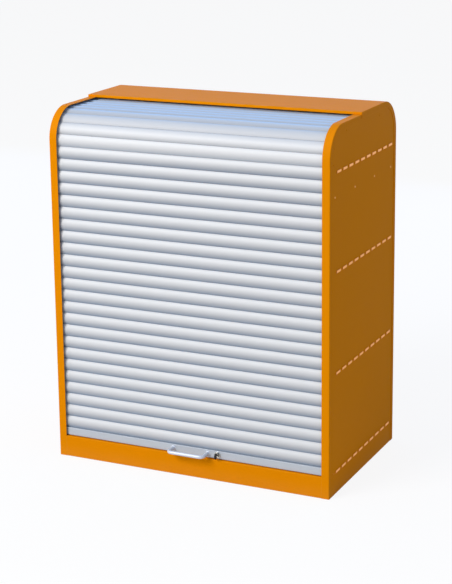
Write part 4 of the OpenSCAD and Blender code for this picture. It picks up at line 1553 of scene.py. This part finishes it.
def make_housing():
    """The housing, with its flange and the rings of its thread."""
    face, end = lock_low.y, lock_high.y
    seat = bar_low.y
    lead = [(BORE_R + out * MM, face + deep * MM) for out, deep in LEAD_IN]
    brow = [(FLANGE_R - BROW_R + BROW_R * math.sin(t), face + BROW_R - BROW_R * math.cos(t))
            for t in quarter_turn(BROW_STEPS)]
    grooves = []
    y = bar_high.y
    while y + THREAD < end:
        grooves += [(BARREL_R, y), (BARREL_R - THREAD_DEPTH, y + THREAD / 2)]
        y += THREAD
    profile = [*lead, *brow, (FLANGE_R, seat), (BARREL_R, seat), *grooves, (BARREL_R, end), (BORE_R, end),
               lead[0]]
    bm = bmesh.new()
    ring = full_turn(LOCK_STEPS)
    loft(bm, [[TO_LOCK @ Vector((r * math.cos(t), r * math.sin(t), h)) for t in ring] for r, h in profile],
         capped=False)
    settle(new_object("lock_body", bm, NICKEL), "shutter", "lock_nickel", "lock_housing")


make_housing()

# %% Lock plug
PLUG_CHAMFER = 0.3 * MM
KEYWAY_PLAY = 0.2 * MM
blade_low, blade_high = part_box("key_blade")


def make_plug():
    """The plug, with its keyway."""
    face = lock_low.y
    bm = bmesh.new()
    radius = plug_high.x - LOCK_X
    neck = cam_low.y
    profile = [(radius - PLUG_CHAMFER, face), (radius, face + PLUG_CHAMFER), (radius, neck)]
    turned(bm, profile, LOCK_STEPS, TO_LOCK)
    plug = new_object("lock_plug_round", bm, NICKEL)
    gap = KEYWAY_PLAY
    bm = bmesh.new()
    box_faces(bm, (blade_low.x - gap, face - 2 * MM, blade_low.z - gap),
              (blade_high.x + gap, blade_high.y + gap, blade_high.z + gap))
    cut(plug, new_object("keyway", bm, NICKEL))
    settle(plug, "lock", "lock_nickel", "lock_plug")


make_plug()

# %% [markdown]
# ## Key
#
# The key has a notched steel blade and a round black head with a hole for a ring. A disc with a Boolean hole
# would be quick, but its edges would be sharp. Here rings of points run out of the hole, over one face, round
# the rim and back over the other face, so every edge comes out rounded. The blade is a flat outline with its
# cuts, given a thickness.

# %% Key head
BOW_HOLE = 2.5 * MM
BOW_BEVEL = 1.2 * MM
bow_low, bow_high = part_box("key_bow")


def make_key_head():
    """The key's moulded head, with its hole."""
    centre_y, centre_z = (bow_low.y + bow_high.y) / 2, (bow_low.z + bow_high.z) / 2
    radius, half = (bow_high.z - bow_low.z) / 2, (bow_high.x - bow_low.x) / 2
    hole_y = centre_y - radius / 2
    ring = full_turn(LOCK_STEPS)

    def circle(y, r, x):
        return [(LOCK_X + x, y + r * math.cos(t), centre_z + r * math.sin(t)) for t in ring]

    soft = BOW_BEVEL * 0.3
    rows = [circle(hole_y, BOW_HOLE, 0)]
    for sign in (1, -1):
        part = [circle(hole_y, BOW_HOLE, sign * (half - BOW_BEVEL)),
                circle(hole_y, BOW_HOLE + soft, sign * (half - soft)),
                circle(hole_y, BOW_HOLE + BOW_BEVEL, sign * half),
                circle(centre_y, radius - BOW_BEVEL, sign * half),
                circle(centre_y, radius - soft, sign * (half - soft)),
                circle(centre_y, radius, sign * (half - BOW_BEVEL))]
        rows += part if sign > 0 else part[::-1]
    rows.append(rows[0])
    bm = bmesh.new()
    loft(bm, rows, capped=False)
    settle(new_object("key_head", bm, KEY_BLACK), "key", "key_plastic", "key_bow")


make_key_head()

# %% Key blade
BLADE_CUTS = (0.30, 0.46, 0.62, 0.78)
CUT_SHARE = 0.22
TIP_FOOT, TIP_TOP = 1.5 * MM, 1.0 * MM
CUT_WIDE, CUT_NARROW = 0.9 * MM, 0.25 * MM


def make_key_blade():
    """The key's notched blade."""
    bm = bmesh.new()
    length = blade_high.y - blade_low.y
    top, foot = blade_high.z, blade_low.z
    notch = (top - foot) * CUT_SHARE
    edge = [(blade_low.y, foot)]
    for share in BLADE_CUTS:
        y = blade_low.y + share * length
        edge += [(y - CUT_WIDE, foot), (y - CUT_NARROW, foot + notch),
                 (y + CUT_NARROW, foot + notch), (y + CUT_WIDE, foot)]
    edge += [(blade_high.y - TIP_FOOT, foot), (blade_high.y, foot + notch * 1.6), (blade_high.y, top - notch),
             (blade_high.y - TIP_TOP, top), (blade_low.y, top)]
    loft(bm, [[(x, y, z) for y, z in edge] for x in (blade_low.x, blade_high.x)])
    blade = round_edges(new_object("key_blade_cut", bm, BRIGHT), radius=0.2 * MM, steps=2)
    settle(blade, "key", "bright_steel", "key_blade")


make_key_blade()

# %% [markdown]
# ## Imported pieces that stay
#
# The flat inner pieces and the small hardware behind the bar already have their true shape, so they keep
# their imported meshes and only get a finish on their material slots.

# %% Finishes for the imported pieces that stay
KEPT = {
    ORANGE: ("left_stiffener", "right_stiffener", "inner_back_panel", "rear_base_rail", "left_base_rail",
             "right_base_rail", "base_brace"),
    BAR_SILVER: ("tail_bar",),
    BRIGHT: ("striker", "lock_cam"),
    ZINC: ("striker_screws", "lock_nut", "cam_screw"),
}
for finish, names in KEPT.items():
    for name in names:
        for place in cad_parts[name].material_slots:
            place.material = finish
print("kept", sum(len(names) for names in KEPT.values()), "packed nodes")
